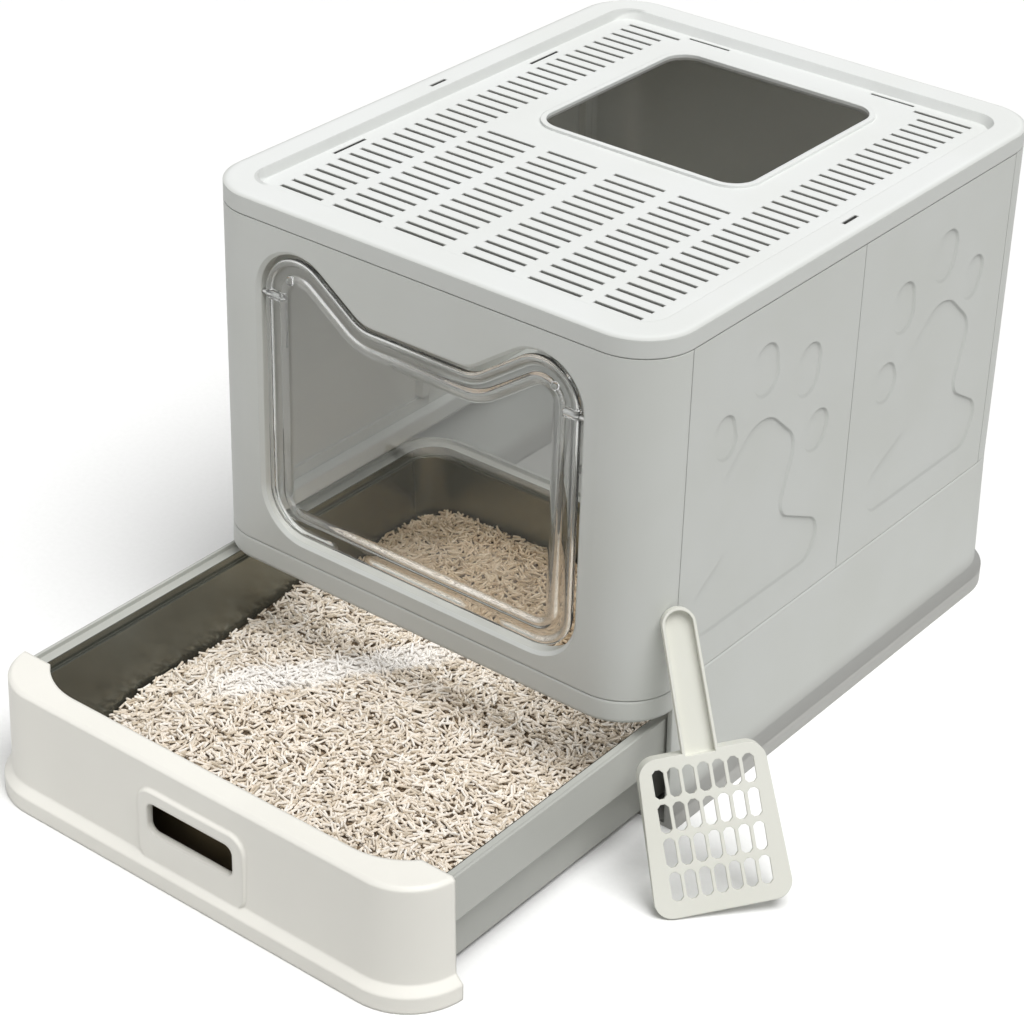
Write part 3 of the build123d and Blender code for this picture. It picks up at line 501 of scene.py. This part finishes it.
def wire_finish():
    recipe = Recipe("pin_steel_drawn")
    stretched = recipe.place() * DRAWN_LINES
    lines = recipe.node("TexNoise", None, {"Vector": stretched, "Scale": 1.0, "Detail": 1.0})
    shader = recipe.node("BsdfPrincipled", None, {
        "Base Color": srgb(178, 178, 176),
        "Metallic": 1.0,
        "Roughness": 0.3 + lines * 0.18,
    })
    return recipe.finish(shader)


pin_steel = wire_finish()
print("pins:", pin_steel.name)

# %% [markdown]
# ## Dressing the parts
# The packed model names a material slot for each part, and most slots have one finish.
# The base, the side walls and the scoop share a slot with other parts and still look
# different, so they have a finish by name. One loop over the record dresses them all,
# and a part that is added to the model later is dressed by its slot.

# %% Give every CAD part its finish
finishes = {
    "wall_plastic": wall_plastic,
    "cover_plastic": cover_plastic,
    "drawer_plastic": drawer_plastic,
    "pan_plastic": pan_plastic,
    "clear_plastic": clear_plastic,
    "pin_steel": pin_steel,
}
own_finish = {"base_frame": base_plastic, "scoop": scoop_plastic}
own_finish.update({name: paw_plastic for name in nodes if name.startswith("side_panel")})
slot_of = {row["node"]: row["material_slot"] for row in frame["record"]["subparts"]}
dressed = 0
for name, part in nodes.items():
    finish = own_finish.get(name, finishes.get(slot_of[name]))
    if finish:
        dressed += 1
        for slot in part.material_slots:
            slot.material = finish
print("dressed", dressed, "of", len(nodes), "parts; loose litter takes the place of the last")

# %% [markdown]
# ## The flap's outline
# The flap is shaped like a cat's head. Its outline is six straight runs with a round at
# each corner, and every ring of the flap is that outline moved inwards. A round keeps
# its centre when it is moved, so one list of places, each with the direction that points
# out of the flap there, gives every ring by a plain sum.

# %% Places along the outline
HEAD_HALF = 0.1440
HEAD_FOOT = 0.1340
EAR_TIP = 0.4011
BROW = (0.0482, 0.3340)
BROW_ROUND = 0.025
EAR_ROUND = 0.036
FOOT_ROUND = 0.038
HEAD_CORNERS = (
    (BROW, BROW_ROUND),
    ((HEAD_HALF, EAR_TIP), EAR_ROUND),
    ((HEAD_HALF, HEAD_FOOT), FOOT_ROUND),
    ((-HEAD_HALF, HEAD_FOOT), FOOT_ROUND),
    ((-HEAD_HALF, EAR_TIP), EAR_ROUND),
    ((-BROW[0], BROW[1]), BROW_ROUND),
)


def head_outline(step=0.0022):
    """Places on the opening's edge, in X and Z, each with its outward direction."""
    arcs = []
    for index, (corner, radius) in enumerate(HEAD_CORNERS):
        here = Vector(corner)
        come = here - Vector(HEAD_CORNERS[index - 1][0])
        go = Vector(HEAD_CORNERS[(index + 1) % len(HEAD_CORNERS)][0]) - here
        first = math.atan2(come.y, come.x)
        turn = (math.atan2(go.y, go.x) - first + math.pi) % (2 * math.pi) - math.pi
        bend = math.copysign(radius, turn)
        start = here - come.normalized() * radius * math.tan(abs(turn) / 2)
        centre = start + bend * Vector((-math.sin(first), math.cos(first)))
        count = max(8, math.ceil(abs(turn) * radius / step))
        headings = [first + turn * k / count for k in range(count + 1)]
        arcs.append([
            (centre - bend * Vector((-math.sin(h), math.cos(h))), Vector((-math.sin(h), math.cos(h))))
            for h in headings
        ])
    line = []
    for arc, following in zip(arcs, arcs[1:] + arcs[:1]):
        line += arc
        (start, outward), (end, _) = arc[-1], following[0]
        count = math.ceil((end - start).length / step)
        line += [(start.lerp(end, k / count), outward) for k in range(1, count)]
    return line


outline = head_outline()
print("places along the outline:", len(outline))

# %% [markdown]
# ## The flap's sheet
# Two soft beads stiffen the clear sheet, one along its edge and one round its window.
# The CAD solid has them with square edges, which glass would draw as hard thin lines,
# so the sheet you see is a smoother one that stands in its place: rings of the outline,
# each a little further in, at the height of the beads' cross-section. Along the foot
# the outer bead is flatter, and it stops at two notches.

# %% Shape the sheet
FLAP_GAP = 0.004
SHEET = 0.001
FLAP_SECTION = (  # inset from the flap's edge and height in front of its middle, in mm
    (24.0, -1.0), (23.0, -1.0), (1.3, -1.0), (0.6, -0.92), (0.15, -0.62), (0.0, -0.1), (0.0, 1.0),
    (0.12, 1.9), (0.5, 2.65), (1.2, 3.2), (2.1, 3.48), (3.0, 3.42), (3.9, 3.0), (4.7, 2.35), (5.6, 1.65),
    (6.7, 1.15), (8.0, 1.0), (11.4, 1.0), (12.3, 1.12), (13.2, 1.55), (14.2, 2.15), (15.3, 2.55),
    (16.4, 2.62), (17.6, 2.4), (18.8, 1.95), (20.0, 1.45), (21.2, 1.12), (22.2, 1.0), (23.0, 1.0),
    (24.0, 1.0),
)
OUTER_BEAD = 8  # mm in from the edge, where the outer bead has ended
FOOT_FLATTER = 0.5
NOTCH_MIDDLE = 0.061
NOTCH_HALF = 0.015
NOTCH_BLEND = 0.004


def foot_rise(rise, spot, outward):
    """The outer bead's height, lower along the foot and level with the sheet in a notch."""
    rise = SHEET + (rise - SHEET) * (1 - FOOT_FLATTER * max(-outward.y, 0) ** 6)
    if outward.y < -0.99:
        past = abs(abs(spot.x) - NOTCH_MIDDLE) - NOTCH_HALF
        rise = SHEET + (rise - SHEET) * min(max(past / NOTCH_BLEND, 0), 1)
    return rise


def flap_sheet():
    build = bmesh.new()
    rings = []
    for inset, height in FLAP_SECTION:
        ring = []
        for place, outward in outline:
            spot = place - outward * (FLAP_GAP + inset / 1000)
            rise = height / 1000
            if inset < OUTER_BEAD and rise > SHEET:
                rise = foot_rise(rise, spot, outward)
            ring.append(build.verts.new((spot.x, axle.y - rise, spot.y)))
        rings.append(ring)
    for ring, following in zip(rings, rings[1:]):
        for k in range(len(ring)):
            build.faces.new((ring[k - 1], ring[k], following[k], following[k - 1]))
    build.faces.new(rings[0])
    build.faces.new(rings[-1][::-1])
    return build


print("rings in the sheet:", len(FLAP_SECTION))

# %% [markdown]
# ## Lugs, bores and studs
# A lug on each side holds a stub pin in a blind bore, and a round stud stands above it.
# They are a box, a cylinder and a ball, so each is made by itself and joined or cut with
# a boolean. Weaving them into the sheet's rings would take far more work.

# %% Shape what is joined and cut
LUG_SIZE = 0.0064
LUG_ROUND = 0.0012
BORE_RADIUS = 0.00205
BORE_LENGTH = 0.0160
BORE_START = 0.0010  # from the lug's inner end
STUD_RADIUS = 0.0034
STUD_PLACE = (0.1180, -0.0002, 0.0160)  # from the middle of the axle
lug_span = (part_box("flap_pin_right")[0][0] - 0.0013, HEAD_HALF - FLAP_GAP - 0.0002)


def rounded_lug(side):
    build = bmesh.new()
    bmesh.ops.create_cube(build, size=1.0)
    size = Vector((lug_span[1] - lug_span[0], LUG_SIZE, LUG_SIZE))
    middle = Vector((side * (lug_span[0] + lug_span[1]) / 2, axle.y, axle.z))
    for vert in build.verts:
        vert.co = middle + Vector(a * b for a, b in zip(vert.co, size))
    edges = build.edges[:]
    bmesh.ops.bevel(build, geom=edges, offset=LUG_ROUND, segments=4, profile=0.5, affect="EDGES")
    return build


def pin_bore(side):
    build = bmesh.new()
    middle = (side * (lug_span[0] + BORE_START + BORE_LENGTH / 2), axle.y, axle.z)
    sideways = Quaternion((0, 1, 0), math.pi / 2).to_matrix()
    bmesh.ops.create_cone(
        build, cap_ends=True, segments=32, radius1=BORE_RADIUS, radius2=BORE_RADIUS, depth=BORE_LENGTH
    )
    bmesh.ops.rotate(build, verts=build.verts, matrix=sideways)
    bmesh.ops.translate(build, verts=build.verts, vec=middle)
    return build


def stud(side):
    build = bmesh.new()
    middle = (side * STUD_PLACE[0], axle.y + STUD_PLACE[1], axle.z + STUD_PLACE[2])
    bmesh.ops.create_uvsphere(build, u_segments=28, v_segments=18, radius=STUD_RADIUS)
    bmesh.ops.translate(build, verts=build.verts, vec=middle)
    return build


print("lugs reach from", lug_span[0], "to", lug_span[1])

# %% [markdown]
# ## Joining the flap
# Boolean modifiers leave each tool an object of its own until the result is taken as
# one mesh, and then the tools go away. The finished sheet stands in for the CAD solid
# and swings with it. It throws no shadow, because the shadow of glass is drawn far too
# dark, while real clear plastic lets nearly all the light through.

# %% Join the flap
def as_mesh(name, build):
    """Turns what was built into a smooth mesh with its faces outwards."""
    bmesh.ops.recalc_face_normals(build, faces=build.faces[:])
    mesh = bpy.data.meshes.new(name)
    build.to_mesh(mesh)
    build.free()
    mesh.shade_smooth()
    return mesh


def as_object(name, mesh):
    made = bpy.data.objects.new(name, mesh)
    scene.collection.objects.link(made)
    return made


def add_piece(name, mesh, material, body):
    """A finished piece that moves with one body of the packed model."""
    piece = as_object(name, mesh)
    mesh.materials.append(material)
    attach(piece, body)
    return piece


rough_flap = as_object("rough_flap", as_mesh("rough_flap", flap_sheet()))
tools = []
for side in (-1, 1):
    for kind, make in (("UNION", rounded_lug), ("UNION", stud), ("DIFFERENCE", pin_bore)):
        tool_name = f"tool_{make.__name__}_{side + 1}"
        tool = as_object(tool_name, as_mesh(tool_name, make(side)))
        step = rough_flap.modifiers.new(tool.name, "BOOLEAN")
        step.operation = kind
        step.solver = "EXACT"
        step.object = tool
        tools.append(tool)
bpy.context.view_layer.update()
joined = rough_flap.evaluated_get(bpy.context.evaluated_depsgraph_get())
flap_mesh = bpy.data.meshes.new_from_object(joined)
flap_mesh.name = "flap_clear"
flap_mesh.materials.clear()
flap_mesh.shade_smooth()
flap_mesh.set_sharp_from_angle(angle=math.radians(48))
for tool in tools + [rough_flap]:
    bpy.data.objects.remove(tool)
flap = add_piece("flap_clear", flap_mesh, clear_plastic, "flap")
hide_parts("flap_door")
flap.visible_shadow = False
print("flap faces:", len(flap_mesh.polygons))

# %% [markdown]
# ## The heap of litter
# The litter is a few kilograms of short pressed pellets, 2 mm thick and about 8 mm
# long. The heap is described first as a height above the floor at every place in the
# pan, lower along the left wall where it was shaken away. A physics run could drop the
# pellets, but a seeded scatter over a measured surface is quicker, repeats exactly and
# follows the photograph's own hollows.

# %% The height of the heap
PAN_X = 0.1795
PAN_FRONT = -0.4605
PAN_REAR = -0.0140
PAN_CORNER = 0.0215
PAN_MIDDLE = (PAN_FRONT + PAN_REAR) / 2
PAN_LONG = (PAN_REAR - PAN_FRONT) / 2
CROWN = 0.0385
FRONT_DIP = 0.004  # how much lower the heap is against the front
FRONT_DIP_REACH = 0.05
SLOPE_WIDTHS = (0.090, 0.045)  # of the slope along the left wall, at its front and rear

# Against the pan's left wall, in steps from front to rear: how far back, and how high.
LEFT_WALL_Y = (
    -0.460, -0.420, -0.390, -0.356, -0.320, -0.274, -0.235, -0.177, -0.141, -0.090, -0.055, -0.014,
)
LEFT_WALL_Z = (
    0.0120, 0.0140, 0.0165, 0.0245, 0.0265, 0.0245, 0.0275, 0.0350, 0.0350, 0.0290, 0.0290, 0.0270,
)


def ripple(x, y):
    """Slow humps and hollows, a few millimetres high."""
    broad = np.sin(31 * x + 1.3) * np.sin(23 * y + 0.4)
    small = np.sin(83 * x + 19 * y) * np.sin(71 * y - 27 * x + 2.0)
    return 0.0021 * broad + 0.0011 * small


def heap_height(x, y):
    """How high the litter lies above the floor at a place in the pan."""
    left = np.interp(y, LEFT_WALL_Y, LEFT_WALL_Z)
    slope_width = np.interp(y, (PAN_FRONT, PAN_REAR), SLOPE_WIDTHS)
    away = np.clip((x + PAN_X) / slope_width, 0, 1)
    away = away * away * (3 - 2 * away)
    front = np.clip((y - PAN_FRONT) / FRONT_DIP_REACH, 0, 1)
    crown = CROWN + ripple(x, y) - FRONT_DIP * (1 - front)
    return left + (crown - left) * away


print("heap at the left wall and the middle:", heap_height(-0.178, -0.3), heap_height(0.0, -0.25))

# %% [markdown]
# ## The bed under the pellets
# Between the top pellets the eye looks down into shadow and broken crumbs. A closed
# brown bed just under the pellets gives that depth, its browns crumbs and painted shade
# together, without filling the heap with pellets that nobody sees. It starts as a flat
# grid, whose corners are pulled in to the pan's round ones and whose points are lifted to
# the heap.

# %% Shape the bed
BED_CELLS = (90, 112)
BED_MARGIN = 0.0006  # between the bed and the pan's wall
BED_UNDER = 0.0012  # below the heap's surface
BED_FLOOR = 0.0095
BED_TAPER = (0.994, 0.995)  # how much smaller the foot is than the top, in x and y


def inside_pan(x, y, margin):
    """Moves points that lie outside the pan's rounded floor back onto its edge."""
    reach_x = PAN_X - margin
    reach_y = PAN_LONG - margin
    round_x = reach_x - PAN_CORNER
    round_y = reach_y - PAN_CORNER
    y = y - PAN_MIDDLE
    over_x = np.maximum(np.abs(x) - round_x, 0)
    over_y = np.maximum(np.abs(y) - round_y, 0)
    far = np.hypot(over_x, over_y)
    pull = np.where(far > PAN_CORNER, PAN_CORNER / np.maximum(far, 1e-9), 1.0)
    x = np.where(over_x > 0, np.sign(x) * (round_x + over_x * pull), x)
    y = np.where(over_y > 0, np.sign(y) * (round_y + over_y * pull), y)
    return x, y + PAN_MIDDLE


def bed_mesh():
    build = bmesh.new()
    bmesh.ops.create_grid(build, x_segments=BED_CELLS[0], y_segments=BED_CELLS[1], size=1.0)
    for vert in build.verts:
        x, y = inside_pan(vert.co.x * PAN_X, vert.co.y * PAN_LONG + PAN_MIDDLE, BED_MARGIN)
        vert.co = (float(x), float(y), float(heap_height(x, y)) - BED_UNDER)
    sides = bmesh.ops.extrude_face_region(build, geom=build.faces[:])
    for item in sides["geom"]:
        if isinstance(item, bmesh.types.BMVert):
            item.co.z = BED_FLOOR
            item.co.x *= BED_TAPER[0]
            item.co.y = PAN_MIDDLE + (item.co.y - PAN_MIDDLE) * BED_TAPER[1]
    return as_mesh("litter_under", build)


bed_surface = bed_mesh()
print("bed faces:", len(bed_surface.polygons))

# %% [markdown]
# ## Crumbs, shade, dust and sheen
# The bed is grit in shade: noise turned into three browns, with a strong bump, whose darkest
# brown is painted shade between the pellets. A slanting band is painted whiter, partly fine
# white dust where the fresh litter was poured and partly a painted highlight of the light on
# the heap. The band is wanted here and on the pellets, so a function draws it: a straight
# strip with soft ends, whose edges wander because noise moves each point a little first.

# %% The bed's finish
DUST_SHEEN_FROM = (-0.1300, -0.3400, 0.0)
DUST_SHEEN_ALONG = (0.5585, 0.8295, 0.0)
DUST_SHEEN_ACROSS = (0.8295, -0.5585, 0.0)
DUST_SHEEN_HALF = 0.024  # half the band's width
DUST_SHEEN_REACH = (-0.02, 0.22)  # along the band, from DUST_SHEEN_FROM
DUST_SHEEN_WANDER = 0.03
# The browns are crumbs, and the darkest is painted shade between the pellets.
CRUMB_AND_SHADE_BROWNS = (
    (0.35, srgb(66, 55, 42)),
    (0.55, srgb(118, 100, 79)),
    (0.70, srgb(174, 154, 129)),
)


def dust_and_sheen_band(recipe):
    """A soft-edged band, whiter with fine dust and a painted highlight."""
    wander = (recipe.speckle(0.03, 2.0, out="Color") - 0.5) * DUST_SHEEN_WANDER
    off = recipe.place() - DUST_SHEEN_FROM + wander
    return off.along(DUST_SHEEN_ACROSS).inside(-DUST_SHEEN_HALF, DUST_SHEEN_HALF) * off.along(DUST_SHEEN_ALONG).inside(*DUST_SHEEN_REACH)


def crumb_and_shade_finish():
    recipe = Recipe("litter_crumbs_and_shade")
    grit = recipe.speckle(0.0016, 4.0)
    paint = recipe.node("ValToRGB", {"stops": CRUMB_AND_SHADE_BROWNS}, {0: grit})
    # Dust and a painted highlight whiten the band.
    paint = (dust_and_sheen_band(recipe) * 0.8).tint(paint, srgb(236, 232, 226))
    grain = {"Strength": 0.8, "Distance": 0.0012, "Height": grit}
    shader = recipe.node("BsdfPrincipled", None, {
        "Base Color": paint,
        "Roughness": 0.9,
        "Normal": recipe.node("Bump", None, grain),
    })
    return recipe.finish(shader)


bed = add_piece("litter_under", bed_surface, crumb_and_shade_finish(), "drawer")
print("bed:", bed.name, "in", bed.data.materials[0].name)

# %% [markdown]
# ## Scattering the pellets
# The pellets are scattered in three layers on jittered grids, so that no bare patch and
# no clump forms by chance. Plain random places would leave both. The generator is
# seeded, so that the same heap comes out each time.

# %% Places for the pellets
LAYERS = ((0.0050, -0.0010), (0.0052, 0.0003), (0.0057, 0.0016))  # spacing, lift over the heap
JITTER = 0.6  # of the spacing
UNEVEN = (-0.0006, 0.0009)
SEED = 20

rng = np.random.default_rng(SEED)


def scatter(spacing, lift):
    """Centres on a jittered grid over the heap."""
    across = np.arange(-PAN_X, PAN_X, spacing)
    along = np.arange(PAN_FRONT, PAN_REAR, spacing)
    x, y = np.meshgrid(across, along)
    x = x.ravel() + rng.uniform(-JITTER, JITTER, x.size) * spacing
    y = y.ravel() + rng.uniform(-JITTER, JITTER, y.size) * spacing
    z = heap_height(x, y) + lift + rng.uniform(*UNEVEN, x.size)
    return np.stack([x, y, z], axis=1)


centres = np.concatenate([scatter(spacing, lift) for spacing, lift in LAYERS])
print("places:", len(centres))

# %% [markdown]
# ## The pellets
# Each pellet is a six-sided rod with a blunt end, which is enough at this size, with its
# own length, thickness and tilt. Poured rods settle alongside their neighbours, so the
# headings follow a slow flow over the heap, and each swerves a little from it. Rods that
# would stick through the pan's wall are left out.

# %% Turn the places into rods
ROD_SIDES = 6
ROD_LENGTH = (0.0065, 0.0105)
ROD_RADIUS = (0.00078, 0.00098)
ROD_MARGIN = 0.0004  # between a rod and the pan's wall
SWERVE = 0.75  # radians, as the next two
TILT = 0.24
STEEPEST = 0.8


def flow(x, y):
    """The way the rods near a place point."""
    slow = 2.4 * np.sin(19 * x + 8 * y) + 2.1 * np.sin(23 * y - 11 * x + 1.0)
    return slow + 1.1 * np.sin(61 * x + 47 * y)


def rods(centres):
    """The points of one rod at each centre, without those that don't fit in the pan."""
    total = len(centres)
    heading = flow(centres[:, 0], centres[:, 1]) + rng.normal(0, SWERVE, total)
    tilt = np.clip(rng.normal(0, TILT, total), -STEEPEST, STEEPEST)
    length = rng.uniform(*ROD_LENGTH, total)
    radius = rng.uniform(*ROD_RADIUS, total)
    along = np.stack([np.cos(heading) * np.cos(tilt), np.sin(heading) * np.cos(tilt), np.sin(tilt)], axis=1)
    across = np.stack([-np.sin(heading), np.cos(heading), np.zeros(total)], axis=1)
    up = np.cross(along, across)
    angles = np.arange(ROD_SIDES) * 2 * math.pi / ROD_SIDES
    ring = (
        across[:, None, :] * np.cos(angles)[None, :, None] + up[:, None, :] * np.sin(angles)[None, :, None]
    ) * radius[:, None, None]
    half = along * length[:, None] / 2
    low = centres[:, None, :] - half[:, None, :] + ring
    high = centres[:, None, :] + half[:, None, :] + ring
    points = np.concatenate([low, high], axis=1)
    edge_x, edge_y = inside_pan(points[..., 0], points[..., 1], ROD_MARGIN)
    fits = (np.abs(edge_x - points[..., 0]) + np.abs(edge_y - points[..., 1])).max(axis=1) < 1e-6
    return points[fits]


all_rods = rods(centres)
all_rods = all_rods[rng.permutation(len(all_rods))]
print("pellets:", len(all_rods))

# %% [markdown]
# ## The pellets' finish
# Pressed wood or tofu pellets are cream, and no two are quite alike. Random Per Island
# gives each rod its own number, which picks a shade between dusty brown and pale cream.
# The band of dust and painted highlight whitens them, and behind the flap, inside the box,
# they are painted browner, a painted warm shade.

# %% The pellets' colour
PELLET_CREAMS = (
    (0.00, srgb(200, 185, 163)),
    (0.15, srgb(222, 210, 192)),
    (0.50, srgb(240, 229, 214)),
    (1.00, srgb(249, 244, 236)),
)
SHADE_BEHIND_FLAP = (-0.145, -0.110)  # in y, where the litter goes browner from front to rear
BROWNER = (0.97, 0.85, 0.69)


def pellet_finish():
    recipe = Recipe("litter_pellets")
    lot = recipe.node("NewGeometry", out="Random Per Island")
    grit = recipe.speckle(0.0009, 2.0)
    clouds = recipe.speckle(0.035, 3.0)
    cloudy_place = recipe.place() + clouds * (0.0, 0.02, 0.0)
    shade_behind_flap = cloudy_place.along((0.0, 1.0, 0.0)).ramp(*SHADE_BEHIND_FLAP)
    paint = recipe.node("ValToRGB", {"stops": PELLET_CREAMS}, {0: lot + (grit - 0.5) * 0.3})
    # Painted shade: behind the flap, inside the box, the litter is painted browner.
    paint = shade_behind_flap.tint(paint, paint * BROWNER)
    # Dust and a painted highlight whiten the band.
    paint = (dust_and_sheen_band(recipe) * 0.85).tint(paint, srgb(252, 249, 245))
    shader = recipe.node("BsdfPrincipled", None, {"Base Color": paint, "Roughness": 0.75})
    return recipe.finish(shader)


pellet_colour = pellet_finish()
print("pellets:", pellet_colour.name)

# %% [markdown]
# ## Three meshes of pellets
# Thousands of single objects would be far too many, and one mesh with them all would be
# heavy to handle. So the rods are dealt out at random into three shares, and all the
# rods of a share are one mesh. Together with the bed they stand in for the CAD heap.

# %% Make the pellets
SHARES = 3


def pellet_mesh(name, points):
    """One mesh of all these rods: the sides of each, and its two ends."""
    first = (np.arange(len(points)) * 2 * ROD_SIDES)[:, None, None]
    low = np.arange(ROD_SIDES)
    following = (low + 1) % ROD_SIDES
    sides = np.stack([low, following, ROD_SIDES + following, ROD_SIDES + low], axis=1)
    ends = np.stack([low[::-1], ROD_SIDES + low])
    quads = (first + sides[None]).reshape(-1, 4)
    caps = (first + ends[None]).reshape(-1, ROD_SIDES)
    mesh = bpy.data.meshes.new(name)
    mesh.from_pydata(points.reshape(-1, 3).tolist(), [], quads.tolist() + caps.tolist())
    mesh.update()
    return mesh


for number, share in enumerate(np.array_split(all_rods, SHARES)):
    name = f"litter_pellets_{number + 1}"
    add_piece(name, pellet_mesh(name, share), pellet_colour, "drawer")
    print(name, len(share), "rods")
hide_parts("litter_bed")

# %% [markdown]
# ## The floor
# The photograph is a cut-out on white. A white floor keeps the shadow that shows where
# the object stands. It throws back less light than a white this bright would, because
# the skirt would be lit too strongly from below.

# %% Floor
FLOOR_REACH = 6.0
FLOOR_WHITES = (srgb(247, 247, 246), srgb(250, 250, 249))
FLOOR_GIVES = srgb(210, 210, 209)  # what it throws back onto the box


def floor_finish():
    recipe = Recipe("floor_paper")
    fibre = recipe.speckle(0.004, 2.0)
    paint = fibre.ramp(0.2, 0.8).tint(*FLOOR_WHITES)
    paint = recipe.node("LightPath", out="Is Camera Ray").tint(FLOOR_GIVES, paint)
    shader = recipe.node("BsdfPrincipled", None, {"Base Color": paint, "Roughness": 0.9})
    return recipe.finish(shader)


build = bmesh.new()
bmesh.ops.create_grid(build, x_segments=8, y_segments=8, size=FLOOR_REACH)
floor = as_object("floor", as_mesh("floor", build))
floor.data.materials.append(floor_finish())
print("floor:", 2 * FLOOR_REACH, "m wide")

# %% [markdown]
# ## The sky
# The world's light stands in for the white walls of a studio. It is white for what the
# eye, gloss and glass see of it, and dim for the light that it gives, because with a
# bright sky all round nothing would have a lit side and a shaded one.

# %% Sky
SKY_LIGHT = 0.20
SKY_SEEN = 1.0

sky = Recipe("studio", world=True)
seen = sky.node("LightPath", out="Is Camera Ray")
for ray in ("Is Glossy Ray", "Is Transmission Ray"):
    seen = sky.node("Math", {"operation": "MAXIMUM"}, {0: seen, 1: sky.node("LightPath", out=ray)})
level = seen.ramp(0.0, 1.0, SKY_LIGHT, SKY_SEEN)
background = sky.node("Background", None, {"Color": (1, 1, 1, 1), "Strength": level})
scene.world = sky.finish(background, "OutputWorld")
print("sky:", scene.world.name)

# %% [markdown]
# ## The lamps
# One big soft lamp, above and a little to the right, lights the whole box, as in the
# photograph. A weak one low on the front left lifts the front wall out of the shade. A
# narrow spot shines down through the entry and brightens the heap behind the flap, and
# a weak strip hidden behind the front beam does the same for the litter under it.

# %% Lamps
def hang_lamp(name, kind, energy, toward):
    """A lamp that shines from the direction toward."""
    lamp = bpy.data.objects.new(name, bpy.data.lights.new(name, kind))
    scene.collection.objects.link(lamp)
    lamp.data.energy = energy
    lamp.rotation_mode = "QUATERNION"
    lamp.rotation_quaternion = Vector(toward).normalized().to_track_quat("Z", "Y")
    return lamp


key = hang_lamp("key", "SUN", 2.95, (0.38, -0.09, 0.92))
key.data.angle = math.radians(40)

fill = hang_lamp("fill", "AREA", 2.3, (-0.55, -0.80, 0.22))
fill.location = (-0.75, -1.30, 0.42)
fill.data.size = 0.7

inside = hang_lamp("inside", "SPOT", 26, (0.077, 0.444, 0.893))
inside.location = (0.092, 0.626, 1.466)
inside.data.spot_size = math.radians(7.4)
inside.data.spot_blend = 0.5
inside.data.shadow_soft_size = 0.03

under = hang_lamp("under_beam", "AREA", 0.085, (0.0, -0.10, 1.0))
under.location = (0.0, -0.205, 0.108)
under.data.shape = "RECTANGLE"
under.data.size = 0.30
under.data.size_y = 0.07
under.visible_glossy = False

scene.view_settings.view_transform = "Standard"
print("lamps:", {lamp.name: lamp.data.energy for lamp in (key, fill, inside, under)})

# %% Bring the scene up to date
bpy.context.view_layer.update()
